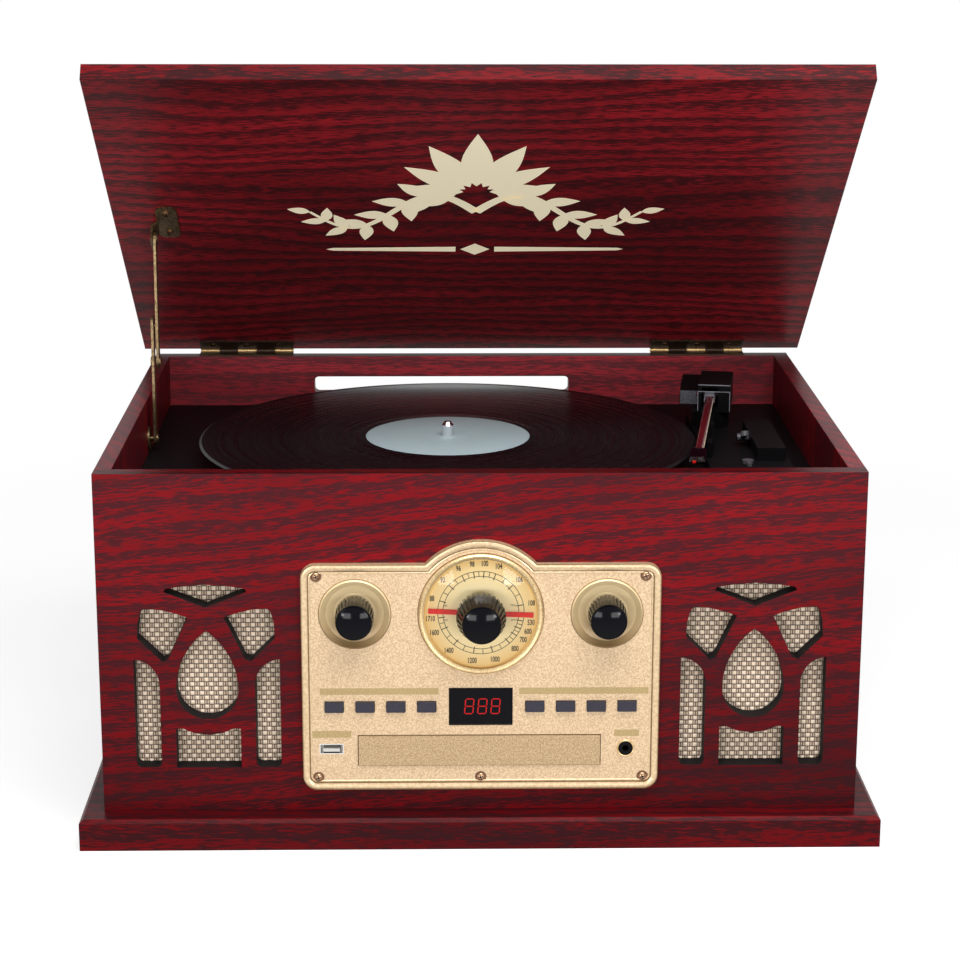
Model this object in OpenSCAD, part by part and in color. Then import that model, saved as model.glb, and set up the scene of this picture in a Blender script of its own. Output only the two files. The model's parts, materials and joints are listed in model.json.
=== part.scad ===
// Stereo music centre: a wooden cabinet with a record player under its hinged lid,
// a radio dial, a disc tray and push buttons on a metal fascia, and two loudspeakers.
// Millimetres, +Z up, front towards -Y. The origin is the middle of the footprint, on the floor.

/* [Cabinet] */
// Width of the cabinet, without the plinth
cabinet_w = 422; // [416:1:460]
// Depth of the cabinet, without the plinth
cabinet_d = 322; // [318:1:360]
// Height of the cabinet's rim above the floor
rim_h = 213; // [209:1:230]
// Thickness of the side panels
side_wall = 9.5; // [6:0.5:11]
// Thickness of the front and back panels
end_wall = 10.5; // [8:0.5:12]
// Depth of the well from the rim down to the deck
well_depth = 33; // [31:1:37]
// Thickness of the deck plate
deck_t = 3; // [2:0.5:5]

/* [Plinth] */
// Height of the plinth
plinth_h = 18; // [12:1:22]
// Overhang of the plinth at each side
plinth_side = 12.5; // [6:0.5:20]
// Overhang of the plinth at the front
plinth_front = 15; // [8:0.5:24]
// Width of the plinth's rails, measured inwards from the cabinet's faces
plinth_rail = 20; // [14:1:30]
// Bevel along the plinth's top edge
plinth_bevel = 2; // [0.5:0.5:5]
// Thickness of the bottom board
bottom_t = 6; // [4:0.5:10]

/* [Lid] */
// Length of the lid from its hinge edge to its front edge
lid_l = 326; // [324:1:340]
// Overhang of the lid past each side of the cabinet
lid_side = 8; // [2:0.5:14]
// Thickness of the lid
lid_t = 10; // [7:0.5:16]
// Angle of the open lid above the horizontal
lid_angle = 38.4; // [37:0.1:40]

/* [Hinges] */
// Distance of each hinge's middle from the cabinet's middle
hinge_x = 150.5; // [130:0.5:170]
// Length of a hinge
hinge_len = 62; // [50:1:76]
// Depth of a hinge leaf, measured from the pin
hinge_leaf = 12; // [10:0.5:16]
// Thickness of a hinge leaf
leaf_t = 1.2; // [0.8:0.1:1.3]
// Radius of the hinge knuckles
knuckle_r = 1.45; // [1.3:0.05:1.5]
// Radius of the hinge pins
pin_r = 0.75; // [0.6:0.05:0.9]
// Knuckles of one hinge
knuckles = 5; // [3:2:9]

/* [Lid stay] */
// Distance of the stay's wall pivot behind the cabinet's front face
stay_y = 185; // [184:0.5:188]
// Height of the stay's wall pivot above the deck
stay_up = 8; // [7.5:0.5:10]
// Distance along the lid from the hinge to the stay's upper pivot
stay_along = 165; // [160:1:168]
// Distance of the upper pivot below the lid's inner face
stay_drop = 8.4; // [8:0.1:9]
// Length of the lower arm between its pivots
stay_lower = 48; // [44:0.5:52]
// Length of the lower arm past the elbow
stay_tail = 24; // [18:1:30]
// Width of both arms
stay_w = 8.4; // [6:0.2:8.4]
// Thickness of the stay's sheet metal
stay_t = 1.5; // [1:0.1:1.6]
// Radius of the stay's rivets
rivet_r = 1.6; // [1.2:0.1:2]

/* [Grilles] */
// Distance of each loudspeaker's middle from the cabinet's middle
grille_x = 151.5; // [148:0.5:154]
// Height of the widest part of the drop-shaped opening
drop_z = 89.3; // [87:0.1:91]
// Radius of the drop's round lower half
drop_r = 17.2; // [14:0.1:17.6]
// Height of the drop's point above its widest part
drop_h = 34.5; // [28:0.5:36]
// Distance of the tall bars' outer edge from the grille's middle
bar_x = 40.4; // [39:0.1:42]
// Width of the tall bars
bar_w = 14; // [9:0.5:15]
// Thickness of the grille cloth
cloth_t = 0.8; // [0.4:0.1:1.5]
// Height of the loudspeakers' middle
speaker_z = 97; // [90:0.5:104]
// Outer radius of the loudspeaker frames
speaker_r = 39; // [34:0.5:42]

/* [Fascia] */
// Width of the fascia plate
fascia_w = 198; // [196:1:206]
// Height of the fascia's lower edge
fascia_z = 31.5; // [29:0.5:33]
// Height of the fascia plate without its arch
fascia_h = 131; // [129:0.5:136]
// Thickness of the fascia plate
fascia_t = 3; // [2.4:0.1:4]
// Width of the raised bead round the fascia
bead_w = 3.5; // [2:0.1:4]
// Height of the bead above the fascia
bead_h = 0.8; // [0.3:0.1:1.5]
// Corner radius of the fascia
fascia_r = 8; // [5:0.5:10]
// Radius of the arch over the dial
arch_r = 41.8; // [39:0.1:46]
// Width of the opening in the front panel behind the fascia
bay_w = 184; // [183:0.5:186]
// Height of that opening
bay_h = 106; // [104:0.5:108]

/* [Dial and knobs] */
// Height of the dial's and the knobs' middles
dial_z = 134; // [133:0.5:135]
// Radius of the hole for the dial
dial_r = 32.8; // [31:0.1:34]
// Outer radius of the dial's bezel
bezel_r = 34.4; // [34.2:0.1:36]
// Thickness of the dial's face
face_t = 1.2; // [0.8:0.1:1.3]
// Length of the pointer from the dial's middle
pointer_l = 29; // [22:0.5:30]
// Width of the pointer
pointer_w = 2.8; // [1.5:0.1:4]
// Turn of the resting pointer from the level
pointer_tilt = 2.5; // [0:0.5:5]
// Radius of the tuning knob
tuner_r = 13.7; // [11:0.1:15]
// Radius of the tuning knob's cap
tuner_cap_r = 9.7; // [8:0.1:11]
// Length of the tuning knob's ribbed body
tuner_len = 16.5; // [14:0.5:19]
// Radius of the side knobs
knob_r = 10.6; // [9:0.1:12]
// Radius of the side knobs' caps
knob_cap_r = 9; // [7:0.1:9.5]
// Length of the side knobs' ribbed bodies
knob_len = 15.4; // [13:0.1:17]
// Distance of the side knobs from the dial's middle
knob_x = 69.4; // [67:0.1:71]
// Radius of the dish round a side knob
dish_r = 18.5; // [15:0.1:19]
// Radius of the knobs' shafts
shaft_r = 3; // [2.5:0.1:3.2]

/* [Buttons and display] */
// Height of the row of buttons
button_z = 80.1; // [79:0.1:81]
// Width of a button
button_w = 10.2; // [8:0.1:11]
// Height of a button
button_h = 6; // [4:0.1:7]
// Distance of the innermost button from the middle
button_x = 30; // [29:0.1:31]
// Pitch of the buttons
button_pitch = 17.1; // [16.8:0.1:17.4]
// Travel of a button
button_travel = 1; // [0.5:0.1:1.2]
// Width of the display window
display_w = 34.5; // [28:0.5:36]
// Height of the display window
display_h = 20.8; // [16:0.2:22]

/* [Sockets on the fascia] */
// Distance of the memory-stick socket from the middle
usb_x = 83; // [82:0.1:84]
// Distance of the headphone socket from the middle
jack_x = 80.8; // [80:0.1:82]
// Height of the two front sockets
socket_z = 55.3; // [54:0.1:56]
// Width of the memory-stick socket
usb_w = 13.4; // [13:0.1:14]
// Height of the memory-stick socket
usb_h = 6; // [5.8:0.1:6.4]
// Radius of the headphone socket's bore
jack_r = 1.8; // [1.6:0.05:2]

/* [Disc tray] */
// Width of the tray's front
tray_w = 134.5; // [133:0.5:136]
// Height of the tray's front
tray_h = 17.3; // [16:0.1:18]
// Height of the tray front's lower edge
tray_z = 45.7; // [45:0.1:46]
// Length of the tray behind its front
tray_l = 150; // [140:1:160]
// Radius of the disc's recess
disc_r = 61; // [60.5:0.1:62]

/* [Record player] */
// Sideways place of the platter's middle
platter_x = -17.2; // [-18:0.1:-16]
// Place of the platter's middle behind the cabinet's front face
platter_y = 165; // [164:0.5:166]
// Radius of the platter
platter_r = 97; // [94:0.5:110]
// Radius of the drum under the platter that the belt drives
drum_r = 70; // [60:0.5:72]
// Height of the platter
platter_h = 8; // [7:0.5:9]
// Thickness of the slip mat
mat_t = 1.8; // [1:0.1:2]
// Radius of the record
record_r = 150.8; // [149:0.1:151]
// Thickness of the record
record_t = 1.9; // [1.5:0.1:2]
// Radius of the record's paper label
label_r = 50; // [48:0.5:52]
// Radius of the spindle
spindle_r = 3.6; // [3.5:0.01:3.6]
// Height of the spindle above the record
spindle_up = 8.8; // [6:0.2:9]
// Radius of the motor's pulley
pulley_r = 4; // [3:0.1:5]
// Distance of the motor from the platter's middle
motor_off = 83; // [81:0.5:84]

/* [Tonearm] */
// Sideways place of the tonearm's pivot
arm_x = 150; // [148:0.5:152]
// Place of the tonearm's pivot behind the cabinet's front face
arm_y = 228; // [224:0.5:232]
// Height of the tonearm's pivot above the deck
arm_up = 25.5; // [25:0.5:26]
// Length from the pivot to the tip of the headshell
arm_len = 152; // [148:0.5:153]
// Fall of the arm from its pivot to its tip
arm_fall = 4.8; // [4:0.1:5]
// Angle of the resting arm to the cabinet's side
arm_rest_angle = 9.1; // [7:0.1:9.5]
// Radius of the arm's tube
tube_r = 2.6; // [2:0.1:3]

/* [Hidden] */
$fn = 64;

// Running clearance of a shaft in its bore, and the wider gap between parts that pass each other
fit = 0.05;
gap = 0.3;
// Overcut of the tools that cut right through
cut = 1;
// Radius of the pilot holes and shanks of the small screws
screw_r = 1.4;

// Cabinet planes, measured from its front face at y = 0
middle_y = (cabinet_d - plinth_front) / 2;
inner_x = cabinet_w / 2 - side_wall;
back_y = cabinet_d - end_wall;
deck_z = rim_h - well_depth;
under_deck = deck_z - deck_t;
face_y = -fascia_t;

// Hinge pin and the open lid
pin_y = cabinet_d + 2;
hinge_gap = 1.5;
pin_z = rim_h + hinge_gap;
knuckle_len = hinge_len / knuckles;

// Stay: both arms lie in one line when the lid is open
ear_t = 1.2;
upper_plane = inner_x - 6.3;
lower_plane = inner_x - 3.4;
wall_pivot = [stay_y, deck_z + stay_up];
lid_pivot = [pin_y - stay_along * cos(lid_angle) - (stay_drop - hinge_gap) * sin(lid_angle),
    pin_z + stay_along * sin(lid_angle) - (stay_drop - hinge_gap) * cos(lid_angle)];
stay_len = norm(lid_pivot - wall_pivot);
stay_tilt = atan2(lid_pivot[1] - wall_pivot[1], lid_pivot[0] - wall_pivot[0]);
stay_upper = stay_len - stay_lower;

// Record player levels
platter_z = deck_z + 2.5;
mat_z = platter_z + platter_h;
record_z = mat_z + mat_t;
record_top = record_z + record_t;
platter_top_t = 2;
pulley_z = platter_z + 1.5;
motor_angle = 225;
motor_x = platter_x + motor_off * cos(motor_angle);
motor_y = platter_y + motor_off * sin(motor_angle);
motor_r = 16;
motor_h = 22;
motor_shaft_r = 1;
belt_t = 0.8;
belt_h = 3;
belt_gap = 0.1;

// Tonearm levels and its sloping axis
arm_z = deck_z + arm_up;
base_z = deck_z + 6;
pillar_z = arm_z - 9.5;
arm_slope = asin(arm_fall / arm_len);
trunnion_r = 1.2;
shell_l = 19;
shell_w = 9;
shell_t = 3.2;
tube_l = arm_len - shell_l;

// Fascia layout
bay_z = fascia_z + 12.5;
board_y = 6;
board_t = 1.6;
tray_x = -0.75;
tray_top = tray_z + 8.3;
tray_floor = tray_z + 4;
tray_gap = 0.5;
chassis_w = tray_w + 6;
screw_spots = [for (side = [-1, 1]) each [[side * (fascia_w / 2 - 8.5), fascia_z + 7],
    [side * (fascia_w / 2 - 8.5), fascia_z + fascia_h - 6.7]], [0, fascia_z + 7.1]];

// ---------- placing ----------

// Moves a piece from the cabinet's own frame, whose y = 0 is the front face, into the part's frame
module cabinet() {
    translate([0, -middle_y, 0]) children();
}

// A flat shape drawn with x across and y up, standing at depth y and growing t towards the back
module upright(y, t) {
    translate([0, y + t, 0]) rotate([90, 0, 0]) linear_extrude(t) children();
}

// A turned piece whose profile is drawn with x as the radius and y as the distance towards the front
module turned(x, z, y = 0) {
    cabinet() translate([x, y, z]) rotate([90, 0, 0]) rotate_extrude() children();
}

// A round bar along the cabinet's depth from y0 to y1
module bar_y(x, z, y0, y1, r) {
    translate([x, y1, z]) rotate([90, 0, 0]) cylinder(h = y1 - y0, r = r);
}

// A round bar along the cabinet's width from x0 to x1
module bar_x_way(x0, x1, y, z, r) {
    translate([x0, y, z]) rotate([0, 90, 0]) cylinder(h = x1 - x0, r = r);
}

// A block between two corners
module block(low, high) {
    translate(low) cube(high - low);
}

// The open lid's frame: x across, -y along the lid from the hinge, z away from the pin
module on_lid() {
    cabinet() translate([0, pin_y, pin_z]) rotate([-lid_angle, 0, 0]) children();
}

// The stay's line at the open lid: x along the line, y towards the front, z across the cabinet
module on_stay() {
    cabinet() translate([0, wall_pivot[0], wall_pivot[1]]) rotate([stay_tilt, 0, 0])
        rotate([90, 0, 90]) children();
}

// The tonearm's frame at rest: -y along the tube from the pivot
module on_arm() {
    cabinet() translate([arm_x, arm_y, arm_z]) rotate([0, 0, -arm_rest_angle])
        rotate([arm_slope, 0, 0]) children();
}

// A rectangle with round corners, centred
module round_rect(w, h, r) {
    square([w, h - 2 * r], center = true);
    square([w - 2 * r, h], center = true);
    for (x = [-1, 1], y = [-1, 1]) translate([x * (w / 2 - r), y * (h / 2 - r)]) circle(r);
}

// ---------- cabinet ----------

module plinth_slab(grow, z0, z1) {
    block([-cabinet_w / 2 - plinth_side + grow, -plinth_front + grow, z0],
        [cabinet_w / 2 + plinth_side - grow, cabinet_d, z1]);
}

module plinth() color("#5a1418") cabinet() difference() {
    hull() {
        plinth_slab(0, 0, plinth_h - plinth_bevel);
        plinth_slab(plinth_bevel, 0, plinth_h);
    }
    block([-cabinet_w / 2 + plinth_rail, plinth_rail, -cut],
        [cabinet_w / 2 - plinth_rail, cabinet_d - plinth_rail, plinth_h + cut]);
}

module bottom_board() color("#8a6a48") cabinet()
    block([-cabinet_w / 2 + plinth_rail, plinth_rail, 0],
        [cabinet_w / 2 - plinth_rail, cabinet_d - plinth_rail, bottom_t]);

module grille_drop() {
    side_off = (drop_h * drop_h - drop_r * drop_r) / (2 * drop_r);
    translate([0, drop_z]) {
        circle(drop_r);
        intersection() {
            translate([-side_off, 0]) circle(drop_r + side_off, $fn = 128);
            translate([side_off, 0]) circle(drop_r + side_off, $fn = 128);
            translate([-drop_r, 0]) square([2 * drop_r, drop_h + cut]);
        }
    }
}

module grille_bar() {
    bar_low = 43.8;
    shoulder_r = bar_w + 1;
    shoulder_z = 92.2;
    corner = 3;
    translate([bar_x - bar_w, bar_low + corner]) square([bar_w, shoulder_z - bar_low - corner]);
    translate([bar_x - bar_w + corner, bar_low]) square([bar_w - 2 * corner, corner + cut]);
    for (x = [bar_x - bar_w + corner, bar_x - corner]) translate([x, bar_low + corner]) circle(corner);
    intersection() {
        translate([bar_x + 1, shoulder_z]) circle(shoulder_r);
        translate([bar_x - bar_w, shoulder_z - cut]) square([bar_w, shoulder_r + 2 * cut]);
    }
}

// Leaf beside the drop's point
petal = [[10, 131.4], [16.7, 133.8], [25.1, 135.9], [33.9, 136.6], [35.8, 134.5], [37.4, 128.4],
    [38, 119.3], [24.4, 105.9], [21.2, 107.3], [15, 120.6]];
// Shallow crown over the drop, and the block under it, right halves
crown = [[0, 137.1], [22.8, 146.1], [21.5, 148], [11.5, 149.5], [0, 150.3]];
foot = [[0, 43.5], [18, 43.5], [18, 66.4], [14.4, 66.7], [8, 64], [0, 62.8]];

module grille_openings() {
    grille_drop();
    for (side = [0, 1]) mirror([side, 0]) {
        grille_bar();
        polygon(petal);
        polygon(crown);
        polygon(foot);
    }
}

module front_panel() color("#7b1a20") cabinet() difference() {
    block([-cabinet_w / 2, 0, plinth_h], [cabinet_w / 2, end_wall, rim_h]);
    upright(-cut, end_wall + 2 * cut) {
        for (side = [-1, 1]) translate([side * grille_x, 0]) grille_openings();
        translate([0, bay_z + bay_h / 2]) square([bay_w, bay_h], center = true);
    }
    for (p = screw_spots) bar_y(p[0], p[1], -cut, end_wall - 2, screw_r);
}

module side_panels() color("#7b1a20") cabinet() for (side = [0, 1]) mirror([side, 0, 0])
    block([inner_x, end_wall, plinth_h], [cabinet_w / 2, back_y, rim_h]);

// Slot in the back panel that lets the record's rear edge through
slot_x0 = platter_x - 88;
slot_x1 = platter_x + 81.5;
slot_z0 = record_z - 4.3;
slot_z1 = record_top + 5.2;
inlet_x = 150;
inlet_z = 52;
line_x = 96;
line_z = 60;
line_pitch = 14;

module back_panel() color("#7b1a20") cabinet() difference() {
    block([-cabinet_w / 2, back_y, plinth_h], [cabinet_w / 2, cabinet_d, rim_h]);
    upright(back_y - cut, end_wall + 2 * cut) {
        translate([(slot_x0 + slot_x1) / 2, (slot_z0 + slot_z1) / 2])
            round_rect(slot_x1 - slot_x0, slot_z1 - slot_z0, 3);
        translate([inlet_x, inlet_z]) round_rect(24, 17, 2);
        for (z = [-1, 1]) translate([line_x, line_z + z * line_pitch / 2]) circle(5);
    }
}

// Bearing tube under the deck, in which the spindle turns
bearing_l = 5 * deck_t;
bearing_r = spindle_r + 4.4;
module deck_plate() color("#161616") cabinet() difference() {
    union() {
        block([-inner_x, end_wall, under_deck], [inner_x, back_y, deck_z]);
        translate([platter_x, platter_y, under_deck - bearing_l]) cylinder(h = bearing_l + cut, r = bearing_r);
    }
    translate([platter_x, platter_y, under_deck - bearing_l - cut])
        cylinder(h = bearing_l + deck_t + 2 * cut, r = spindle_r + fit);
    translate([motor_x, motor_y, under_deck - cut]) cylinder(h = deck_t + 2 * cut, r = pulley_r + 1);
}

// ---------- loudspeakers ----------

cloth_edge = 3.5;
cloth_h = 2 * (speaker_z - foot[0][1] + cloth_edge);
module grille_cloths() color("#cbb89a") cabinet() for (side = [-1, 1]) upright(end_wall, cloth_t)
    translate([side * grille_x, speaker_z]) square([2 * (bar_x + cloth_edge), cloth_h], center = true);

basket_l = 16;
magnet_r = 22;
magnet_l = 11;

module speaker_frames() color("#3a3a3c") for (side = [-1, 1]) turned(side * grille_x, speaker_z, end_wall + cloth_t)
    polygon([[speaker_r, 0], [speaker_r, -2], [speaker_r - 4, -2], [magnet_r, -basket_l],
        [magnet_r, -basket_l - magnet_l], [0, -basket_l - magnet_l], [0, -basket_l + 2], [magnet_r - 3, -basket_l + 2],
        [speaker_r - 6, -1], [speaker_r - 6, 0]]);

module speaker_cones() color("#202022") for (side = [-1, 1]) turned(side * grille_x, speaker_z, end_wall + cloth_t)
    polygon([[speaker_r - 6.3, -0.2], [speaker_r - 6.3, -1], [speaker_r - 9, -1.8], [12, -basket_l + 4.5],
        [0, -basket_l + 2.3], [0, -basket_l + 5], [9, -basket_l + 6], [speaker_r - 11, -0.9], [speaker_r - 9, -0.2]]);

// ---------- fascia ----------

module fascia_outline(inset) {
    translate([0, fascia_z + fascia_h / 2]) round_rect(fascia_w - 2 * inset, fascia_h - 2 * inset, fascia_r - inset);
    translate([0, dial_z]) circle(arch_r - inset, $fn = 128);
}

function button_spot(side, i) = side * (button_x + i * button_pitch);

module fascia_holes() {
    translate([0, dial_z]) circle(dial_r);
    for (side = [-1, 1]) {
        translate([side * knob_x, dial_z]) circle(dish_r);
        for (i = [0:3]) translate([button_spot(side, i), button_z])
            square([button_w + 2 * gap, button_h + 2 * gap], center = true);
    }
    translate([0, button_z]) square([display_w, display_h], center = true);
    translate([tray_x, tray_z + tray_h / 2]) square([tray_w + 2 * tray_gap, tray_h + 2 * tray_gap], center = true);
    translate([-usb_x, socket_z]) square([usb_w, usb_h], center = true);
    translate([jack_x, socket_z]) circle(jack_r + 1.8);
    for (p = screw_spots) translate(p) circle(screw_r);
}

module fascia_plate() color("#c9ae7c") cabinet() {
    upright(face_y, fascia_t) difference() {
        fascia_outline(0);
        fascia_holes();
    }
    upright(face_y - bead_h, bead_h) difference() {
        fascia_outline(0);
        fascia_outline(bead_w);
    }
    for (side = [-1, 1], i = [0, 2]) bar_y(button_spot(side, i + 0.5), button_z, 0, board_y, 2);
}

module fascia_screws() color("#b08a52") cabinet() for (p = screw_spots) {
    bar_y(p[0], p[1], face_y - 1.2, face_y, 2.6);
    bar_y(p[0], p[1], face_y, end_wall - 2.5, screw_r);
}

module dial_face() color("#e9d49a") cabinet() upright(-face_t, face_t) difference() {
    translate([0, dial_z]) circle(dial_r);
    translate([0, dial_z]) circle(shaft_r + 1);
}

module dial_bezel() color("#c8a463") turned(0, dial_z, face_y)
    polygon([[dial_r - 1.2, 0.9], [dial_r, 0.2], [dial_r, 0], [bezel_r, 0], [bezel_r, 1.6], [bezel_r - 0.9, 2.4],
        [dial_r - 0.4, 2], [dial_r - 1.2, 1.5]]);

lens_t = 0.9;
lens_rise = 3.2;
module dial_lens() color([0.95, 0.93, 0.85, 0.35]) turned(0, dial_z, face_y)
    difference() {
        lens_dome(0);
        lens_dome(-lens_t);
        square([2 * (shaft_r + 2.5), 40], center = true);
    }
module lens_dome(lift) {
    reach = dial_r - 1.4;
    dome_r = (reach * reach + lens_rise * lens_rise) / (2 * lens_rise);
    intersection() {
        translate([0, lens_rise + lift - dome_r]) circle(dome_r, $fn = 256);
        translate([0, 0.3]) square([reach, lens_rise + cut]);
    }
}

// Bowl behind each side knob, with a raised ring
module knob_dishes() color("#c9a766") for (side = [-1, 1]) turned(side * knob_x, dial_z)
    polygon([[shaft_r + 0.7, 0], [dish_r, 0], [dish_r, fascia_t], [dish_r + 1.2, fascia_t],
        [dish_r + 1.2, fascia_t + 0.8], [dish_r + 0.5, fascia_t + 1.3], [dish_r - 0.4, fascia_t + 0.6],
        [dish_r - 2.4, fascia_t - 0.8], [dish_r - 7, 1], [shaft_r + 0.7, 0.8]]);

// A control's bush and body, with the bore that its knob's shaft turns in
module bush(x, y0, r) {
    difference() {
        bar_y(x, dial_z, y0, 0, r);
        bar_y(x, dial_z, y0 - cut, cut, shaft_r + fit);
    }
}

module rotary_controls() color("#9a9a9c") cabinet() {
    for (side = [-1, 1]) difference() {
        union() {
            bar_y(side * knob_x, dial_z, 0, 9, 8);
            bar_y(side * knob_x, dial_z, -1.6, cut, shaft_r + 0.6);
        }
        bar_y(side * knob_x, dial_z, -2, 8, shaft_r + fit);
    }
    difference() {
        union() {
            block([-13, 0, dial_z - 13], [13, 15, dial_z + 13]);
            bar_y(0, dial_z, -face_t, cut, shaft_r + 0.8);
        }
        bar_y(0, dial_z, -face_t - cut, 12, shaft_r + fit);
    }
}

// Grooves of the knobs and the shallow caps in front of them
flute_count = 28;
flute_d = 0.8;
flute_share = 0.5;
cap_edge = 1;
cap_lip = 0.8;
rise_share = 0.17;

// A grooved body that narrows to its front, a shallow dome and the shaft; its rear is rear before the front face
module fluted_knob(x, r, cap_r, straight, len, rear, shaft_end) {
    rim_r = cap_r + cap_edge;
    cap_rise = rise_share * cap_r;
    flute_w = flute_share * 2 * PI * r / flute_count;
    dome_r = (cap_r * cap_r + cap_rise * cap_rise) / (2 * cap_rise);
    difference() {
        turned(x, dial_z, -rear) polygon([[0, 0], [r, 0], [r, straight], [rim_r, len], [0, len]]);
        cabinet() for (i = [0:flute_count - 1]) rotate_about(x, i * 360 / flute_count)
            translate([0, -rear, -flute_w / 2]) linear_extrude(flute_w) mirror([0, 1])
                polygon([[r - flute_d, -cut], [r + cut, -cut], [r + cut, len - flute_d],
                    [rim_r - flute_d, len - flute_d], [r - flute_d, straight]]);
    }
    turned(x, dial_z, -rear - len) intersection() {
        translate([0, cap_lip + cap_rise - dome_r]) circle(dome_r, $fn = 256);
        square([cap_r, cap_lip + cap_rise]);
    }
    cabinet() bar_y(x, dial_z, -rear - cut, shaft_end, shaft_r);
}

// Turns its children about the knob's axis
module rotate_about(x, angle) {
    translate([x, 0, dial_z]) rotate([0, angle, 0]) children();
}

tuner_rear = fascia_t + 4.6;
tuner_straight = 4.6;
knob_rear = fascia_t + 0.4;
knob_straight = 8;

module tuner_knob() color("#15151a")
    fluted_knob(0, tuner_r, tuner_cap_r, tuner_straight, tuner_len, tuner_rear, 10);
module left_knob() color("#15151a")
    fluted_knob(-knob_x, knob_r, knob_cap_r, knob_straight, knob_len, knob_rear, 7);
module right_knob() color("#15151a")
    fluted_knob(knob_x, knob_r, knob_cap_r, knob_straight, knob_len, knob_rear, 7);

pointer_t = 0.7;
pointer_y = -face_t - 1.2;
module dial_pointer() color("#c4281c") cabinet() difference() {
    union() {
        rotate_about(0, pointer_tilt)
            block([-pointer_l, pointer_y, -pointer_w / 2], [pointer_l, pointer_y + pointer_t, pointer_w / 2]);
        bar_y(0, dial_z, pointer_y, pointer_y + pointer_t, shaft_r + 2);
    }
    bar_y(0, dial_z, pointer_y - cut, pointer_y + pointer_t + cut, shaft_r);
}

module display_window() color("#16080a") cabinet() upright(face_y + 0.2, fascia_t - 0.2)
    translate([0, button_z]) square([display_w, display_h], center = true);

// Circuit board with the display's module and one switch behind each button
module control_board() color("#2f5b3c") cabinet() {
    upright(board_y, board_t) translate([0, button_z]) square([bay_w - 4, 22], center = true);
    upright(0, board_y) translate([0, button_z]) square([display_w - 1, display_h - 1], center = true);
    for (side = [-1, 1], i = [0:3]) upright(board_y - 2, 2)
        translate([button_spot(side, i), button_z]) square([5, 5], center = true);
}

// Button cap, the flange that holds it behind the fascia and the plunger that works the switch
module button(side, i) color("#3c3a44") cabinet() translate([button_spot(side, i), 0, button_z]) {
    upright(face_y - 1.6, fascia_t + 1.9) square([button_w, button_h], center = true);
    upright(0.2, 0.9) square([button_w + 2, button_h + 2], center = true);
    upright(1, board_y - 2 - button_travel - gap - 1) circle(1.6);
}
module left_button_1() button(-1, 3);
module left_button_2() button(-1, 2);
module left_button_3() button(-1, 1);
module left_button_4() button(-1, 0);
module right_button_1() button(1, 0);
module right_button_2() button(1, 1);
module right_button_3() button(1, 2);
module right_button_4() button(1, 3);

usb_depth = 13;
module usb_socket() color("#b9b9bd") cabinet() difference() {
    upright(face_y, usb_depth) translate([-usb_x, socket_z]) square([usb_w, usb_h], center = true);
    upright(face_y - cut, usb_depth - 1 + cut) translate([-usb_x, socket_z])
        square([usb_w - 1, usb_h - 1], center = true);
}

jack_len = 14;
module headphone_jack() color("#222226") cabinet() difference() {
    union() {
        bar_y(jack_x, socket_z, face_y - 1, face_y, jack_r + 2.3);
        bar_y(jack_x, socket_z, face_y, cut, jack_r + 1.8);
        block([jack_x - 5, 0, socket_z - 5], [jack_x + 5, jack_len - 1, socket_z + 5]);
    }
    bar_y(jack_x, socket_z, face_y - 2, face_y - 1 + jack_len, jack_r);
}

// ---------- electronics and disc drive ----------

// Main board on four spacers: its transformer, its heat sink and three capacitors
board_w = 100;
board_l = 190;
board_x = cabinet_w / 2 - plinth_rail - 5 - board_w;
board_back = cabinet_d - 72;
spacer_h = 10;
spacer_in = 6;
module main_board() color("#2f5b3c") cabinet() translate([board_x, board_back, bottom_t + spacer_h]) {
    block([0, -board_l, 0], [board_w, 0, board_t]);
    for (x = [spacer_in, board_w - spacer_in], y = [-spacer_in, spacer_in - board_l])
        translate([x, y, -spacer_h]) cylinder(h = spacer_h + cut, r = 3);
    block([spacer_in, -60, board_t - cut], [46, -18, 34]);
    block([64, -160, board_t - cut], [70, -80, 28]);
    for (y = [-164, -140, -116]) translate([24, y, board_t - cut]) cylinder(h = 24, r = 8);
}

drive_l = 184;
drive_floor = tray_z - 6;
drive_top = tray_z + 21;
module cd_chassis() color("#a8a8ac") cabinet() translate([tray_x, end_wall, 0]) {
    side_t = 2;
    block([-chassis_w / 2, 0, drive_floor], [chassis_w / 2, drive_l, drive_floor + 2]);
    block([-chassis_w / 2, 0, drive_top - 1.5], [chassis_w / 2, drive_l, drive_top]);
    block([-chassis_w / 2, drive_l - 2, drive_floor], [chassis_w / 2, drive_l, drive_top]);
    for (side = [0, 1]) mirror([side, 0, 0]) {
        block([chassis_w / 2 - side_t, 0, drive_floor], [chassis_w / 2, drive_l, drive_top]);
        block([tray_w / 2 - 3.5, 0, drive_floor], [chassis_w / 2, drive_l, tray_floor - 2 - gap]);
        block([chassis_w / 2 - 12, drive_l - 12, bottom_t], [chassis_w / 2 - 4, drive_l - 4, drive_floor + cut]);
    }
}

// Loading tray with the disc's recess; the runners ride on the chassis ledges
tray_side = 1.2;
module cd_tray() color("#1b1b1d") cabinet() translate([tray_x, 0, 0]) difference() {
    block([-tray_w / 2 + tray_side, 0.2, tray_floor - 2], [tray_w / 2 - tray_side, tray_l, tray_top]);
    translate([0, disc_r + 12, tray_floor]) cylinder(h = 20, r = disc_r);
    translate([0, disc_r + 12, tray_floor - 2 - cut]) cylinder(h = 20, r = 16);
}

module cd_tray_front() color("#c9ae7c") cabinet() translate([tray_x, 0, 0])
    block([-tray_w / 2, face_y - 0.9, tray_z], [tray_w / 2, 0.2, tray_z + tray_h]);

// Disc drive's hub on its spindle motor, under the tray's floor
module cd_hub() color("#55555a") cabinet() translate([tray_x, disc_r + 12, drive_floor + 2 + gap]) {
    cylinder(h = 2.2, r = 13);
    cylinder(h = 3.2, r = 7.4);
}

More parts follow.
